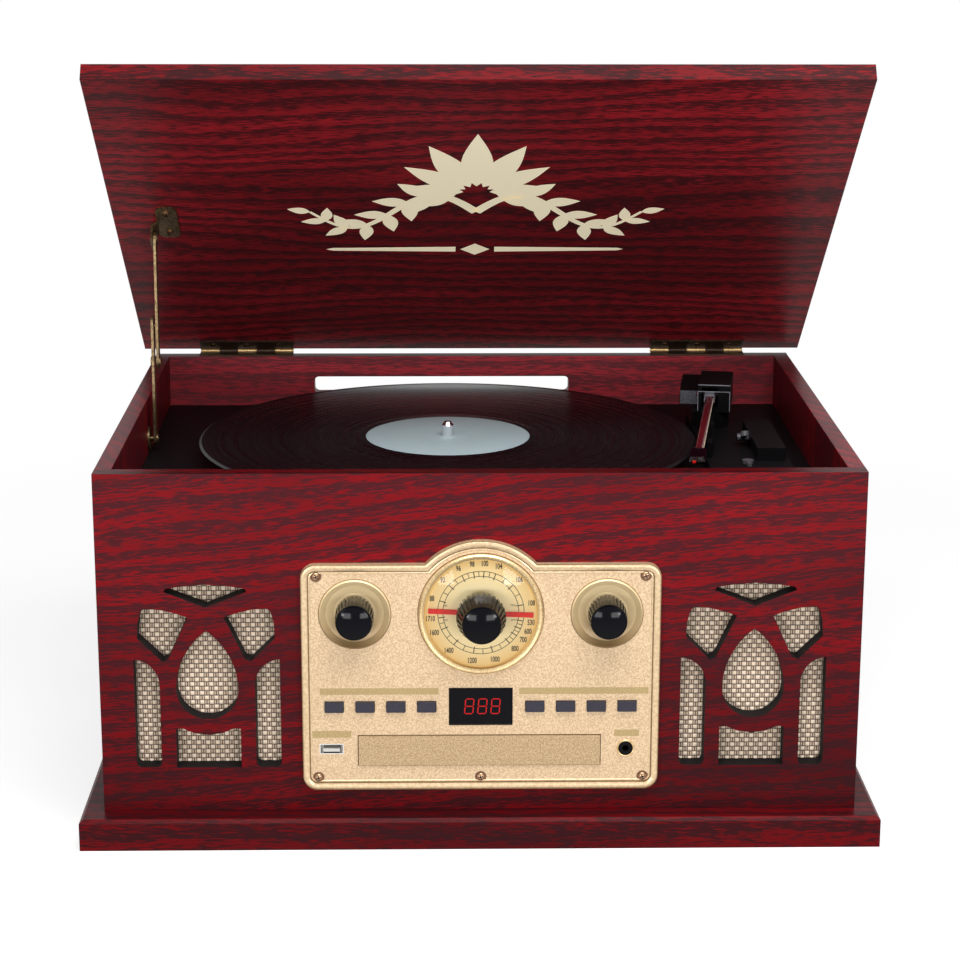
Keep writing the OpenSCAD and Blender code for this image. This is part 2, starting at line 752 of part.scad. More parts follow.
// ---------- record player ----------

module turntable_motor() color("#8f8f94") cabinet() difference() {
    translate([motor_x, motor_y, under_deck - motor_h]) cylinder(h = motor_h, r = motor_r);
    translate([motor_x, motor_y, under_deck - 12]) cylinder(h = 20, r = motor_shaft_r + fit);
}

module motor_pulley() color("#c9a24a") cabinet() translate([motor_x, motor_y, 0]) {
    translate([0, 0, under_deck - 11]) cylinder(h = pulley_z - under_deck + 12, r = motor_shaft_r);
    translate([0, 0, pulley_z - 1]) cylinder(h = belt_h + 2, r = pulley_r);
}

// Outline of the belt round the drum and the pulley, grown by a distance
module belt_outline(grow) hull() {
    circle(drum_r + grow, $fn = 128);
    translate([motor_off, 0]) circle(pulley_r + grow);
}
module drive_belt() color("#101010") cabinet() translate([platter_x, platter_y, pulley_z]) rotate([0, 0, motor_angle])
    linear_extrude(belt_h) difference() {
        belt_outline(belt_gap + belt_t);
        belt_outline(belt_gap);
    }

module platter() color("#2a2a2c") cabinet() translate([platter_x, platter_y, platter_z]) rotate_extrude($fn = 128)
    polygon([[spindle_r + fit, 0], [9, 0], [9, platter_h - platter_top_t], [drum_r - 4, platter_h - platter_top_t],
        [drum_r - 4, 0.5], [drum_r, 0.5], [drum_r, platter_h - platter_top_t],
        [platter_r - 3, platter_h - platter_top_t], [platter_r - 3, 1.2], [platter_r, 1.2],
        [platter_r, platter_h - 1], [platter_r - 1, platter_h], [spindle_r + fit, platter_h]]);

module platter_mat() color("#1c1c20") cabinet() translate([platter_x, platter_y, mat_z]) difference() {
    cylinder(h = mat_t, r = platter_r - 2, $fn = 128);
    translate([0, 0, -cut]) cylinder(h = mat_t + 2 * cut, r = spindle_r + fit);
}

module spindle() color("#c8c8cc") cabinet() translate([platter_x, platter_y, 0]) {
    translate([0, 0, under_deck - 12]) cylinder(h = record_top + spindle_up - 2 - under_deck + 12, r = spindle_r);
    translate([0, 0, record_top + spindle_up - 2]) cylinder(h = 2, r1 = spindle_r, r2 = spindle_r - 1.4);
    translate([0, 0, deck_z + gap]) cylinder(h = platter_z - deck_z - gap, r = 7.5);
}

module vinyl_record() color("#0c0c0e") cabinet() translate([platter_x, platter_y, record_z])
    rotate_extrude($fn = 180) polygon([[spindle_r + fit, 0], [record_r - 1.5, 0], [record_r, record_t / 2],
        [record_r - 1.5, record_t], [record_r - 4, record_t - 0.25], [label_r + 8, record_t - 0.25],
        [label_r, record_t], [spindle_r + fit, record_t]]);

// ---------- tonearm ----------

base_x0 = arm_x - 12;
base_x1 = arm_x + 38;
base_y0 = arm_y - 118;
base_y1 = arm_y + 38;
rest_along = 74;
rest_x = arm_x - rest_along * sin(arm_rest_angle);
rest_y = arm_y - rest_along * cos(arm_rest_angle);
rest_top = arm_z - rest_along * sin(arm_slope) - tube_r - 1.5;
speed_x = arm_x + 11.6;
speed_y = arm_y - 102;
lever_y = arm_y - 56;
lever_z = base_z + 5;
lever_x1 = arm_x + 18;
lift_bar_x = arm_x - 1.6;
lift_bar_y = arm_y - 15;
lift_bar_w = 3.6;
lift_bar_l = 55;
lift_bar_angle = 6.6;
lift_bar_top = pillar_z - 0.6;
foot_l = 18;
peg_r = 1.4;
peg_l = 3;
catch_in = 1;
catch_t = 2;
catch_w = 5;

// A bar of the lift's width along its sloping line, between two distances from its rear end
module lift_line(near, far, low) {
    translate([lift_bar_x, lift_bar_y, 0]) rotate([0, 0, -lift_bar_angle])
        block([-lift_bar_w / 2, -far, low], [lift_bar_w / 2, -near, lift_bar_top]);
}

module tonearm_base() color("#141416") cabinet() {
    difference() {
        union() {
            translate([0, 0, deck_z]) linear_extrude(base_z - deck_z)
                translate([(base_x0 + base_x1) / 2, (base_y0 + base_y1) / 2])
                    round_rect(base_x1 - base_x0, base_y1 - base_y0, 6);
            translate([arm_x, arm_y, base_z - cut]) cylinder(h = pillar_z - base_z + cut, r = 12);
            block([lever_x1, lever_y - 40, base_z - cut], [base_x1 - 3, lever_y + 34, lever_z + 3]);
            lift_line(0, lift_bar_l, base_z - cut);
            bar_x_way(lever_x1 - 8, lever_x1 + cut, lever_y, lever_z, trunnion_r);
        }
        translate([arm_x, arm_y, pillar_z - 9]) cylinder(h = 10, r = 3 + fit);
        translate([speed_x, speed_y, base_z - 4]) cylinder(h = 6, r = 1.5 + fit);
        translate([rest_x, rest_y, base_z - peg_l - fit]) cylinder(h = peg_l + cut, r = peg_r + fit);
    }
    arm_rest();
}

// The rest on which the arm lies: a post, a catch beside the tube and a foot, with a peg in the base
module arm_rest() {
    rest_z = base_z + fit;
    catch_x = rest_x + tube_r + catch_in;
    translate([rest_x, rest_y, base_z - peg_l]) cylinder(h = peg_l + cut, r = peg_r);
    translate([rest_x, rest_y, rest_z]) cylinder(h = rest_top - rest_z, r = 2.6);
    block([catch_x, rest_y - catch_w / 2, rest_z], [catch_x + catch_t, rest_y + catch_w / 2, rest_top + 5]);
    lift_line(lift_bar_l + gap, lift_bar_l + foot_l, rest_z);
}

// Housing that swings with the arm; the tube tilts in its front slot on a cross pin
yoke_z0 = pillar_z + gap;
yoke_h = 17;
yoke_top = yoke_z0 + yoke_h;
yoke_left = 7.5;
yoke_right = 12.8;
yoke_front = 11;
yoke_back = 34;
lip_t = 3;
lip_drop = 3.6;
box_left = 19.8;
box_front = 4;
box_back = 37;
box_low = 6.6;
box_high = 3.2;
slot_w = 2 * tube_r + 5;

// Turns its children with the resting arm about the pivot
module with_arm() {
    cabinet() translate([arm_x, arm_y, 0]) rotate([0, 0, -arm_rest_angle]) children();
}

module tonearm_yoke() color("#1d1d20") with_arm() {
    difference() {
        union() {
            block([-yoke_left, lip_t - yoke_front, yoke_z0], [yoke_right, yoke_back, yoke_top]);
            block([-yoke_left, -yoke_front, yoke_z0], [yoke_right, lip_t + cut - yoke_front, yoke_top - lip_drop]);
            translate([-box_left, 0, 0]) rotate([90, 0, 90]) linear_extrude(box_left - yoke_left + cut)
                polygon([[box_front, yoke_z0 + 1], [box_back, yoke_z0 + 1], [box_back, yoke_top - box_high],
                    [box_front, yoke_top - box_low]]);
        }
        block([-slot_w / 2, -yoke_front - cut, arm_z - 6], [slot_w / 2, 13, arm_z + 6]);
        bar_x_way(-5 - slot_w / 2, 5 + slot_w / 2, 0, arm_z, trunnion_r + fit);
    }
    translate([0, 0, pillar_z - 8]) cylinder(h = 8 + gap + cut, r = 3);
}

module tonearm_tube() color("#5a1418") {
    on_arm() rotate([90, 0, 0]) translate([0, 0, -6]) cylinder(h = tube_l + 6, r = tube_r);
    with_arm() bar_x_way(-4 - slot_w / 2, 4 + slot_w / 2, 0, arm_z, trunnion_r);
}

module headshell() color("#141416") on_arm() {
    block([-shell_w / 2, -arm_len, -shell_t / 2], [shell_w / 2, -tube_l, shell_t / 2]);
}

// Cartridge under the headshell, with its stylus
module cartridge() color("#26262a") on_arm() {
    block([-shell_w / 2 + 1, -arm_len + 3, -shell_t / 2 - 1.8], [shell_w / 2 - 1, -tube_l - 2, -shell_t / 2]);
    translate([0, -arm_len + 5, -shell_t / 2 - 2.7]) cylinder(h = 1.2, r1 = 0.3, r2 = 1.2);
}

lever_tilt = 22;
module cue_lever() color("#8c8c90") cabinet() difference() {
    union() {
        bar_x_way(lever_x1 - 7.5, lever_x1 - gap, lever_y, lever_z, trunnion_r + 1.2);
        translate([lever_x1 - 4, lever_y, lever_z]) rotate([-lever_tilt, 0, 0]) {
            block([-1.5, -11, -1], [1.5, -trunnion_r - 0.6, 1]);
            translate([0, -11, -1]) cylinder(h = 3, r = 2.6);
        }
    }
    bar_x_way(lever_x1 - 9, lever_x1 + 1, lever_y, lever_z, trunnion_r + fit);
}

module speed_lever() color("#cfcfd2") cabinet() translate([speed_x, speed_y, base_z]) {
    translate([0, 0, -3.5]) cylinder(h = 4, r = 1.5);
    translate([0, 0, gap]) cylinder(h = 2, r = 3.4);
    block([-1.2, -9, gap], [1.2, 0, gap + 2]);
}

// ---------- hinges, stay and lid ----------

function leaf_screws() = [for (x = [-1, 0, 1]) [x * hinge_len * 0.35, hinge_leaf * 0.62]];

// Knuckles first, first + 2, ... of a hinge along its pin
module knuckle_row(first) {
    for (i = [first:2:knuckles - 1]) bar_x_way(-hinge_len / 2 + i * knuckle_len + fit,
        -hinge_len / 2 + (i + 1) * knuckle_len - fit, 0, 0, knuckle_r);
}

module knuckle_gaps(first, low, high) {
    for (i = [first:2:knuckles - 1]) block([-hinge_len / 2 + i * knuckle_len - fit, -knuckle_r - 0.4, low],
        [-hinge_len / 2 + (i + 1) * knuckle_len + fit, knuckle_r + 1, high]);
}

module hinge_body_leaves() color("#b08d4f") cabinet() for (side = [-1, 1]) translate([side * hinge_x, pin_y, pin_z]) {
    difference() {
        block([-hinge_len / 2, -hinge_leaf, -hinge_gap], [hinge_len / 2, 0, -hinge_gap + leaf_t]);
        knuckle_gaps(0, -hinge_gap - cut, cut);
    }
    knuckle_row(1);
    bar_x_way(-hinge_len / 2, hinge_len / 2, 0, 0, pin_r);
}

module hinge_lid_leaves() color("#b08d4f") on_lid() for (side = [-1, 1]) translate([side * hinge_x, 0, 0])
    difference() {
        union() {
            difference() {
                block([-hinge_len / 2, -hinge_leaf, hinge_gap - leaf_t], [hinge_len / 2, 0, hinge_gap]);
                knuckle_gaps(1, -cut, hinge_gap + cut);
            }
            knuckle_row(0);
        }
        bar_x_way(-hinge_len / 2 - cut, hinge_len / 2 + cut, 0, 0, pin_r + fit);
        for (p = leaf_screws()) translate([p[0], -p[1], -cut]) cylinder(h = 4, r = 1.2);
    }

module stay_wall_bracket() color("#8a6a3a") on_stay() {
    translate([0, 0, -inner_x]) cylinder(h = 1, r = 7.4);
    translate([0, 0, -inner_x]) cylinder(h = inner_x - upper_plane - gap, r = rivet_r);
    translate([0, 0, -lower_plane + stay_t + 0.05]) cylinder(h = 0.9, r = rivet_r + 1.4);
}

// A flat bar with round ends from 0 to len along x
module stay_bar(len) {
    translate([0, -stay_w / 2]) square([len, stay_w]);
    circle(stay_w / 2);
    translate([len, 0]) circle(stay_w / 2);
}

// The two arms each carry their own rivet head at the elbow, with no shank between them
module stay_lower_arm() color("#8a6a3a") on_stay() {
    translate([0, 0, -lower_plane]) linear_extrude(stay_t) difference() {
        stay_bar(stay_lower + stay_tail);
        circle(rivet_r + fit);
    }
    translate([stay_lower, 0, -lower_plane - 0.8]) cylinder(h = 0.9, r = rivet_r + 1.4);
    translate([stay_lower + stay_tail - 2, -1, -lower_plane + stay_t - 0.1]) cylinder(h = 0.9, r = 1.4);
}

module stay_upper_arm() color("#a8874f") on_stay() {
    translate([stay_lower, 0, -upper_plane]) linear_extrude(stay_t) difference() {
        stay_bar(stay_upper);
        translate([stay_upper, 0]) circle(rivet_r + fit);
    }
    translate([stay_lower, 0, -upper_plane + stay_t - 0.1]) cylinder(h = 0.9, r = rivet_r + 1.4);
}

// Plate on the lid, the bent ear that reaches down behind the arm, and the rivet through the arm
bracket_w = 13;
bracket_l = 35;
ear_w = 12;
plate_x0 = upper_plane - 2.2 - bracket_w;
module stay_lid_bracket() color("#8a6a3a") on_lid() {
    translate([-plate_x0 - bracket_w / 2, -stay_along - 5.5, hinge_gap - ear_t]) linear_extrude(ear_t) difference() {
        round_rect(bracket_w, bracket_l, 5);
        for (s = bracket_screws) translate([0, s]) circle(1.2);
    }
    outer = -upper_plane - 0.25;
    translate([0, -stay_along + ear_w / 2, hinge_gap]) rotate([90, 0, 0]) linear_extrude(ear_w)
        polygon([[-plate_x0 - bracket_w + 0.5, 0], [outer - ear_t, -2.6], [outer - ear_t, -stay_drop - 5],
            [outer, -stay_drop - 5], [outer, -3.6], [-plate_x0 - bracket_w + 0.5, -ear_t]]);
    bar_x_way(outer - ear_t / 2, -upper_plane + stay_t + 0.1, -stay_along, hinge_gap - stay_drop, rivet_r);
    bar_x_way(-upper_plane + stay_t + 0.05, -upper_plane + stay_t + 0.8, -stay_along, hinge_gap - stay_drop,
        rivet_r + 1.4);
}
bracket_screws = [-11, 11];

module lid_panel() color("#5f151b") on_lid()
    block([-cabinet_w / 2 - lid_side, -lid_l, hinge_gap], [cabinet_w / 2 + lid_side, 0, hinge_gap + lid_t]);

// Screw heads on the hinge leaves and the stay's bracket
module lid_screws() color("#c9a766") on_lid() {
    for (side = [-1, 1], p = leaf_screws())
        translate([side * hinge_x + p[0], -p[1], hinge_gap - leaf_t - 0.35]) cylinder(h = 0.35, r = 2.1);
    for (s = bracket_screws)
        translate([-plate_x0 - bracket_w / 2, -stay_along - 5.5 + s, hinge_gap - ear_t - 1]) cylinder(h = 1, r = 2.3);
}

// Mains inlet with its two pins, and two line-out sockets, in the back panel
module rear_sockets() color("#1d1d20") cabinet() {
    difference() {
        union() {
            upright(cabinet_d - end_wall - 4, end_wall + 4) translate([inlet_x, inlet_z]) round_rect(24, 17, 2);
            upright(cabinet_d, 1.6) translate([inlet_x, inlet_z]) round_rect(34, 23, 3);
        }
        upright(cabinet_d - 11, 14) translate([inlet_x, inlet_z]) round_rect(15, 8.6, 4);
    }
    for (x = [-1, 1]) bar_y(inlet_x + x * 4.6, inlet_z, cabinet_d - 11.5, cabinet_d - 1, 1.2);
    for (z = [-1, 1]) difference() {
        union() {
            bar_y(line_x, line_z + z * line_pitch / 2, back_y - 3, cabinet_d + 8, 4.1);
            bar_y(line_x, line_z + z * line_pitch / 2, back_y, cabinet_d, 5);
            bar_y(line_x, line_z + z * line_pitch / 2, cabinet_d, cabinet_d + 1.2, 6.6);
        }
        bar_y(line_x, line_z + z * line_pitch / 2, cabinet_d - 6, cabinet_d + 9, 1.7);
    }
}

plinth();
bottom_board();
front_panel();
side_panels();
back_panel();
deck_plate();
grille_cloths();
speaker_frames();
speaker_cones();
fascia_plate();
fascia_screws();
dial_face();
dial_bezel();
dial_lens();
knob_dishes();
rotary_controls();
tuner_knob();
dial_pointer();
left_knob();
right_knob();
display_window();
control_board();
usb_socket();
headphone_jack();
left_button_1();
left_button_2();
left_button_3();
left_button_4();
right_button_1();
right_button_2();
right_button_3();
right_button_4();
main_board();
cd_chassis();
cd_tray();
cd_tray_front();
cd_hub();
turntable_motor();
motor_pulley();
drive_belt();
platter();
platter_mat();
spindle();
vinyl_record();
tonearm_base();
tonearm_yoke();
tonearm_tube();
headshell();
cartridge();
cue_lever();
speed_lever();
hinge_body_leaves();
hinge_lid_leaves();
stay_wall_bracket();
stay_lower_arm();
stay_upper_arm();
stay_lid_bracket();
lid_panel();
lid_screws();
rear_sockets();
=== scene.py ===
# %% [markdown]
# # A wooden music centre
# The cabinet is wrapped in cherry veneer. A record player sits in a well under a hinged lid, and a
# gold-coloured metal plate on the front carries a radio dial, knobs, buttons, a display, a disc tray and two
# sockets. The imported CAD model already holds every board, hinge and knob at its real size, so this lesson
# only finishes surfaces and adds the small shapes that make them look used and made: weave, print, screws,
# beads and grooves.

# %% Load the frame
import json
import math

import bmesh
import bpy
from mathutils import Matrix, Vector


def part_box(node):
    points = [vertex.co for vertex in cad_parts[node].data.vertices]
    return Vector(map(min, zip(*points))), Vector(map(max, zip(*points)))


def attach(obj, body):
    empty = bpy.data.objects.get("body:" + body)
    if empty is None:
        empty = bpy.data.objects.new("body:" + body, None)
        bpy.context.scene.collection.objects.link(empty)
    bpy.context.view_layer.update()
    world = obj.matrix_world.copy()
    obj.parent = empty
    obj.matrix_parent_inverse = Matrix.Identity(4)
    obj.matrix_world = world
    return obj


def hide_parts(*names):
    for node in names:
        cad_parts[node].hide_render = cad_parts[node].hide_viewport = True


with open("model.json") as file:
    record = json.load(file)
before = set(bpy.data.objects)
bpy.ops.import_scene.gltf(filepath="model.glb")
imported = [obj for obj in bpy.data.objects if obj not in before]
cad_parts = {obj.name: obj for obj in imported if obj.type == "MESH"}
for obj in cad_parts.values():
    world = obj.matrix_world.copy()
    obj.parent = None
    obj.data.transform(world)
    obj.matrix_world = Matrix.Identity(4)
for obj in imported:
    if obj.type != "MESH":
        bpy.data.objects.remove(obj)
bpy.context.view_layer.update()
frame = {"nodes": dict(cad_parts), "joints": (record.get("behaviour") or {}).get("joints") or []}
nodes = frame["nodes"]
MM = 0.001

# %% [markdown]
# Everything is measured from the cabinet's front face and the floor, because that is how the pieces were
# read from the photograph. One helper turns such a place, in millimetres, into Blender's metres. The lid has
# its own helper: it measures along the open lid from the hinge pin, so an ornament on the lid needs no
# trigonometry of its own.

# %% Places on the cabinet and on the lid
front_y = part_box("front_panel")[0].y / MM
joints = {joint["name"]: joint for joint in frame["joints"]}
hinge_pin = Vector(joints["lid_hinge"]["pos_m"]) / MM
lid_angle = math.radians(joints["lid_hinge"]["range_deg"][1])
# From the middle of the hinge pin up to the inner face of the lid, in mm
LID_GAP = 1.5


def at(x, back, up):
    """A point in metres, from millimetres right of the middle, behind the front face and above the floor."""
    return Vector((x, front_y + back, up)) * MM


lid_along = Vector((0, -math.cos(lid_angle), math.sin(lid_angle)))
lid_out = Vector((0, math.sin(lid_angle), math.cos(lid_angle)))


def on_lid(x, along, under=0.0):
    """A point under the lid's inner face, in metres: across, up from the hinge, and below the face, in mm."""
    foot = Vector((0, hinge_pin.y, hinge_pin.z))
    return (foot + Vector((x, 0, 0)) + along * lid_along + (LID_GAP - under) * lid_out) * MM


print("front face at y =", round(front_y, 1), "mm, lid open", round(math.degrees(lid_angle), 1), "degrees")

# %% [markdown]
# The camera comes first, so that every later choice is made in the photograph's own view. Its place and
# angles were solved from the corners of the cabinet, the plinth and the lid, with the record held at its
# real size. A long lens far away gives the gentle perspective of a catalogue picture.

# %% Camera
CAMERA_AT = at(-24.95, -1276.6, 543.0)
CAMERA_YAW = math.radians(1.091)
CAMERA_PITCH = math.radians(14.651)
CAMERA_ROLL = math.radians(0.119)
SENSOR_MM = 36.0
LENS_MM = 91.155


def camera_turn(yaw, pitch, roll):
    """The camera's rotation: yaw to the right, pitch down, then roll."""
    ahead = Vector((math.sin(yaw) * math.cos(pitch), math.cos(yaw) * math.cos(pitch), -math.sin(pitch)))
    level = Vector((math.cos(yaw), -math.sin(yaw), 0))
    upward = level.cross(ahead)
    right = math.cos(roll) * level + math.sin(roll) * upward
    top = -math.sin(roll) * level + math.cos(roll) * upward
    return Matrix((right, top, -ahead)).transposed().to_4x4()


camera = bpy.data.objects.new("camera", bpy.data.cameras.new("camera"))
bpy.context.scene.collection.objects.link(camera)
camera.data.sensor_width = SENSOR_MM
camera.data.lens = LENS_MM
camera.matrix_world = Matrix.Translation(CAMERA_AT) @ camera_turn(CAMERA_YAW, CAMERA_PITCH, CAMERA_ROLL)
bpy.context.scene.camera = camera
print("camera at", [round(v, 3) for v in CAMERA_AT], "with a", LENS_MM, "mm lens")

# %% [markdown]
# A finish is a small network of nodes round one Principled shader. Writing each node by hand takes four
# lines, so a short class gives the steps plain names: a place on the object, noise stretched along one
# direction, a ramp from a number to a colour, a blend of two colours and a bump. Values that are the same
# all over go straight on the shader's own sockets, where an exporter can read them.

# %% A class for finishes


class Finish:
    """One material, its shader and short ways of adding nodes to it."""

    def __init__(self, name, colour=(0.5, 0.5, 0.5), roughness=0.5, metallic=0.0, **sockets):
        self.material = bpy.data.materials.new(name)
        self.material.use_nodes = True
        self.tree = self.material.node_tree
        self.shader = self.tree.nodes["Principled BSDF"]
        self.set("Base Color", (*colour, 1.0))
        self.set("Roughness", roughness)
        self.set("Metallic", metallic)
        for socket, value in sockets.items():
            self.set(socket.replace("_", " ").title().replace("Ior", "IOR"), value)

    def set(self, socket, value):
        """Links a node's output to a socket of the shader, or sets the socket's own value."""
        self.feed(self.shader.inputs[socket], value)

    def feed(self, socket, value):
        """Links an output to a socket of any node, or sets the socket's own value."""
        if isinstance(value, bpy.types.NodeSocket):
            self.tree.links.new(value, socket)
        else:
            socket.default_value = value

    def add(self, kind, *inputs, **settings):
        """Adds a node, with its settings and its first inputs."""
        node = self.tree.nodes.new("ShaderNode" + kind)
        for name, value in settings.items():
            setattr(node, name, value)
        for socket, value in zip(node.inputs, inputs):
            if value is not None:
                self.feed(socket, value)
        return node

    def place(self, turn=(0, 0, 0), shift=(0, 0, 0)):
        """The point on the object, in metres, turned and moved."""
        point = self.add("TexCoord").outputs["Object"]
        return self.add("Mapping", point, shift, turn, (1, 1, 1)).outputs[0]

    def stretch(self, point, scale):
        """The point with its three coordinates multiplied."""
        return self.add("VectorMath", point, scale, operation="MULTIPLY").outputs[0]

    def split(self, point):
        """The three coordinates of a point."""
        return self.add("SeparateXYZ", point).outputs

    def noise(self, point, stretch, detail=2.0, rough=0.5):
        """Noise from 0 to 1, with stretch repeats a metre along X, Y and Z."""
        return self.add("TexNoise", self.stretch(point, stretch), None, 1.0, detail, rough).outputs[0]

    def sum(self, operation, first, second=0.0, third=0.0):
        """One step of arithmetic."""
        return self.add("Math", first, second, third, operation=operation).outputs[0]

    def ramp(self, value, *stops):
        """A ramp through stops of a position and a grey level or colour."""
        node = self.add("ValToRGB", value)
        points = node.color_ramp.elements
        while len(points) < len(stops):
            points.new(1.0)
        for point, (position, colour) in zip(points, stops):
            point.position = position
            point.color = (*colour, 1.0) if isinstance(colour, tuple) else (colour, colour, colour, 1.0)
        return node.outputs[0]

    def blend(self, amount, first, second, how="MIX"):
        """From the first colour at 0 to the second at 1."""
        node = self.add("Mix", data_type="RGBA", blend_type=how)
        self.feed(node.inputs[0], amount)
        for socket, colour in ((node.inputs[6], first), (node.inputs[7], second)):
            self.feed(socket, (*colour, 1.0) if isinstance(colour, tuple) else colour)
        return node.outputs[2]

    def bump(self, height, depth_mm, strength=1.0, soft_edge_mm=0.0):
        """Raises the surface by up to depth_mm where height is 1, and may soften the model's sharp edges."""
        node = self.add("Bump")
        node.inputs["Strength"].default_value = strength
        node.inputs["Distance"].default_value = depth_mm * MM
        self.feed(node.inputs["Height"], height)
        if soft_edge_mm:
            self.feed(node.inputs["Normal"], self.add("Bevel", soft_edge_mm * MM, samples=4).outputs[0])
        self.set("Normal", node.outputs[0])


print("the finish class is ready")

# %% [markdown]
# A catalogue picture is lit by two wide soft boxes low in front, left and right, which leave their bright
# patches in the dial's domed lens and on the knobs, and by a broad soft light above that brightens the top
# of the front board more than its foot. Two small lamps further out add the short hard sparks on ribs and
# rims. Area lights do all three, and a table of them is easier to balance than lines of code.

# %% Lamps
LIT_MIDDLE = (0, 0, 0.14)
# Place and aim in metres, width, height, and power in watts
LAMPS = {
    "left_box": ((-0.57, -1.75, 0.18), LIT_MIDDLE, 0.52, 0.34, 6.0),
    "right_box": ((0.57, -1.75, 0.18), LIT_MIDDLE, 0.52, 0.34, 6.0),
    "left_spark": ((-0.80, -1.6, 0.22), LIT_MIDDLE, 0.13, 0.13, 1.7),
    "right_spark": ((0.80, -1.6, 0.22), LIT_MIDDLE, 0.13, 0.13, 1.7),
    "top_box": ((0.1, -0.5, 0.95), (0, -0.1, 0.2), 0.8, 0.5, 9.5),
}


def soft_box(name, place, aim, width, height, watts):
    """A rectangular area light at place, in metres, turned to aim."""
    light = bpy.data.objects.new(name, bpy.data.lights.new(name, "AREA"))
    light.data.shape = "RECTANGLE"
    light.data.size = width
    light.data.size_y = height
    light.data.energy = watts
    light.location = place
    light.rotation_euler = (Vector(aim) - Vector(place)).to_track_quat("-Z", "Y").to_euler()
    bpy.context.scene.collection.objects.link(light)


for name, settings in LAMPS.items():
    soft_box(name, *settings)
print("lamps:", ", ".join(LAMPS))

# %% [markdown]
# The background is white paper. Near the object the paper takes part of its white from the lamps, so that it
# shows a soft shadow; further away it is simply white for the camera. What it sends back onto the object
# never changes, because only camera, glossy and transmitted rays see the extra white. The world behind it
# does the same, so that metal and clear plastic mirror white surroundings and not a grey sky.

# %% Paper floor and white surroundings
SKY_LEVEL = 0.16
PAPER = 0.5
NEAR_WHITE = 0.74
# The paper turns white for the camera between these distances from the object's middle, in metres
FADE_FROM, FADE_TO = 0.32, 0.85
FLOOR_SIZE = 16


def seen_directly(tree):
    """1 for a camera, glossy or transmitted ray, which sees the background, and 0 for light on the object."""
    path = tree.nodes.new("ShaderNodeLightPath").outputs
    seen = path["Is Camera Ray"]
    for ray in ("Is Glossy Ray", "Is Transmission Ray"):
        either = tree.nodes.new("ShaderNodeMath")
        either.operation = "MAXIMUM"
        tree.links.new(seen, either.inputs[0])
        tree.links.new(path[ray], either.inputs[1])
        seen = either.outputs[0]
    return seen


def paper_floor():
    """Paper that the lamps light near the object, and that is plain white for the camera further away."""
    finish = Finish("studio_paper", (PAPER, PAPER, PAPER), 1.0)
    finish.set("Specular IOR Level", 0.0)
    finish.set("Emission Color", (1.0, 1.0, 1.0, 1.0))
    seen = seen_directly(finish.tree)
    flat = finish.stretch(finish.place(), (1, 1, 0))
    distance = finish.add("VectorMath", flat, operation="LENGTH").outputs["Value"]
    far = finish.sum("MULTIPLY", finish.ramp(distance, (FADE_FROM, 0.0), (FADE_TO, 1.0)), seen)
    finish.set("Base Color", finish.blend(far, (PAPER, PAPER, PAPER), (0.0, 0.0, 0.0)))
    near_level = finish.sum("MULTIPLY", seen, NEAR_WHITE)
    finish.set("Emission Strength", finish.sum("MULTIPLY_ADD", far, 1 - NEAR_WHITE, near_level))
    return finish.material


bpy.ops.mesh.primitive_plane_add(size=FLOOR_SIZE)
floor = bpy.context.object
floor.name = "studio_floor"
floor.data.materials.append(paper_floor())

world = bpy.data.worlds.new("studio")
world.use_nodes = True
bpy.context.scene.world = world
sky = world.node_tree
level = sky.nodes.new("ShaderNodeMapRange")
level.inputs["To Min"].default_value = SKY_LEVEL
level.inputs["To Max"].default_value = 1.0
sky.links.new(seen_directly(sky), level.inputs["Value"])
background = sky.nodes["Background"]
background.inputs["Color"].default_value = (1, 1, 1, 1)
sky.links.new(level.outputs[0], background.inputs["Strength"])
bpy.context.scene.view_settings.view_transform = "Standard"
print("floor of", FLOOR_SIZE, "m, world level", SKY_LEVEL)

# %% [markdown]
# The veneer is oak-grained and stained a deep cherry red. Oak shows two things: broad growth rings, which
# run as wavering bands and close into long pointed arches, and short dark pores, which lie thick in one part
# of each ring. An image could hold that, but a formula in three dimensions also runs round the edges of a
# board. The rings are the height across the board plus slow noise, cut into repeats; the pores are noise
# stretched nine times longer along the grain than across it, and the rings only push it over or under its
# threshold.

# %% Cherry veneer
REDS = ((0.125, 0.005, 0.008), (0.27, 0.006, 0.010))
PORE = (0.045, 0.011, 0.015)
# Repeats a metre of each noise, along the grain and twice across it
SLOW, TONE, WAVER = (2.4, 9.0, 9.0), (3.0, 14.0, 14.0), (14.0, 60.0, 60.0)
PORES, FIBRE = (105.0, 950.0, 950.0), (90.0, 2400.0, 2400.0)
# How dark each part of a growth ring is, from one ring to the next
RING = ((0.0, 1.0), (0.40, 0.45), (0.62, 0.0), (0.88, 0.1), (1.0, 1.0))
# Painted shade at a board's foot, where the lamp above lights it less, is full at 17 mm above the floor and
# none at 190 mm
PAINTED_SHADE_RISE, PAINTED_SHADE_START = 5.8, -0.1
SOFT_EDGE_MM = 0.6


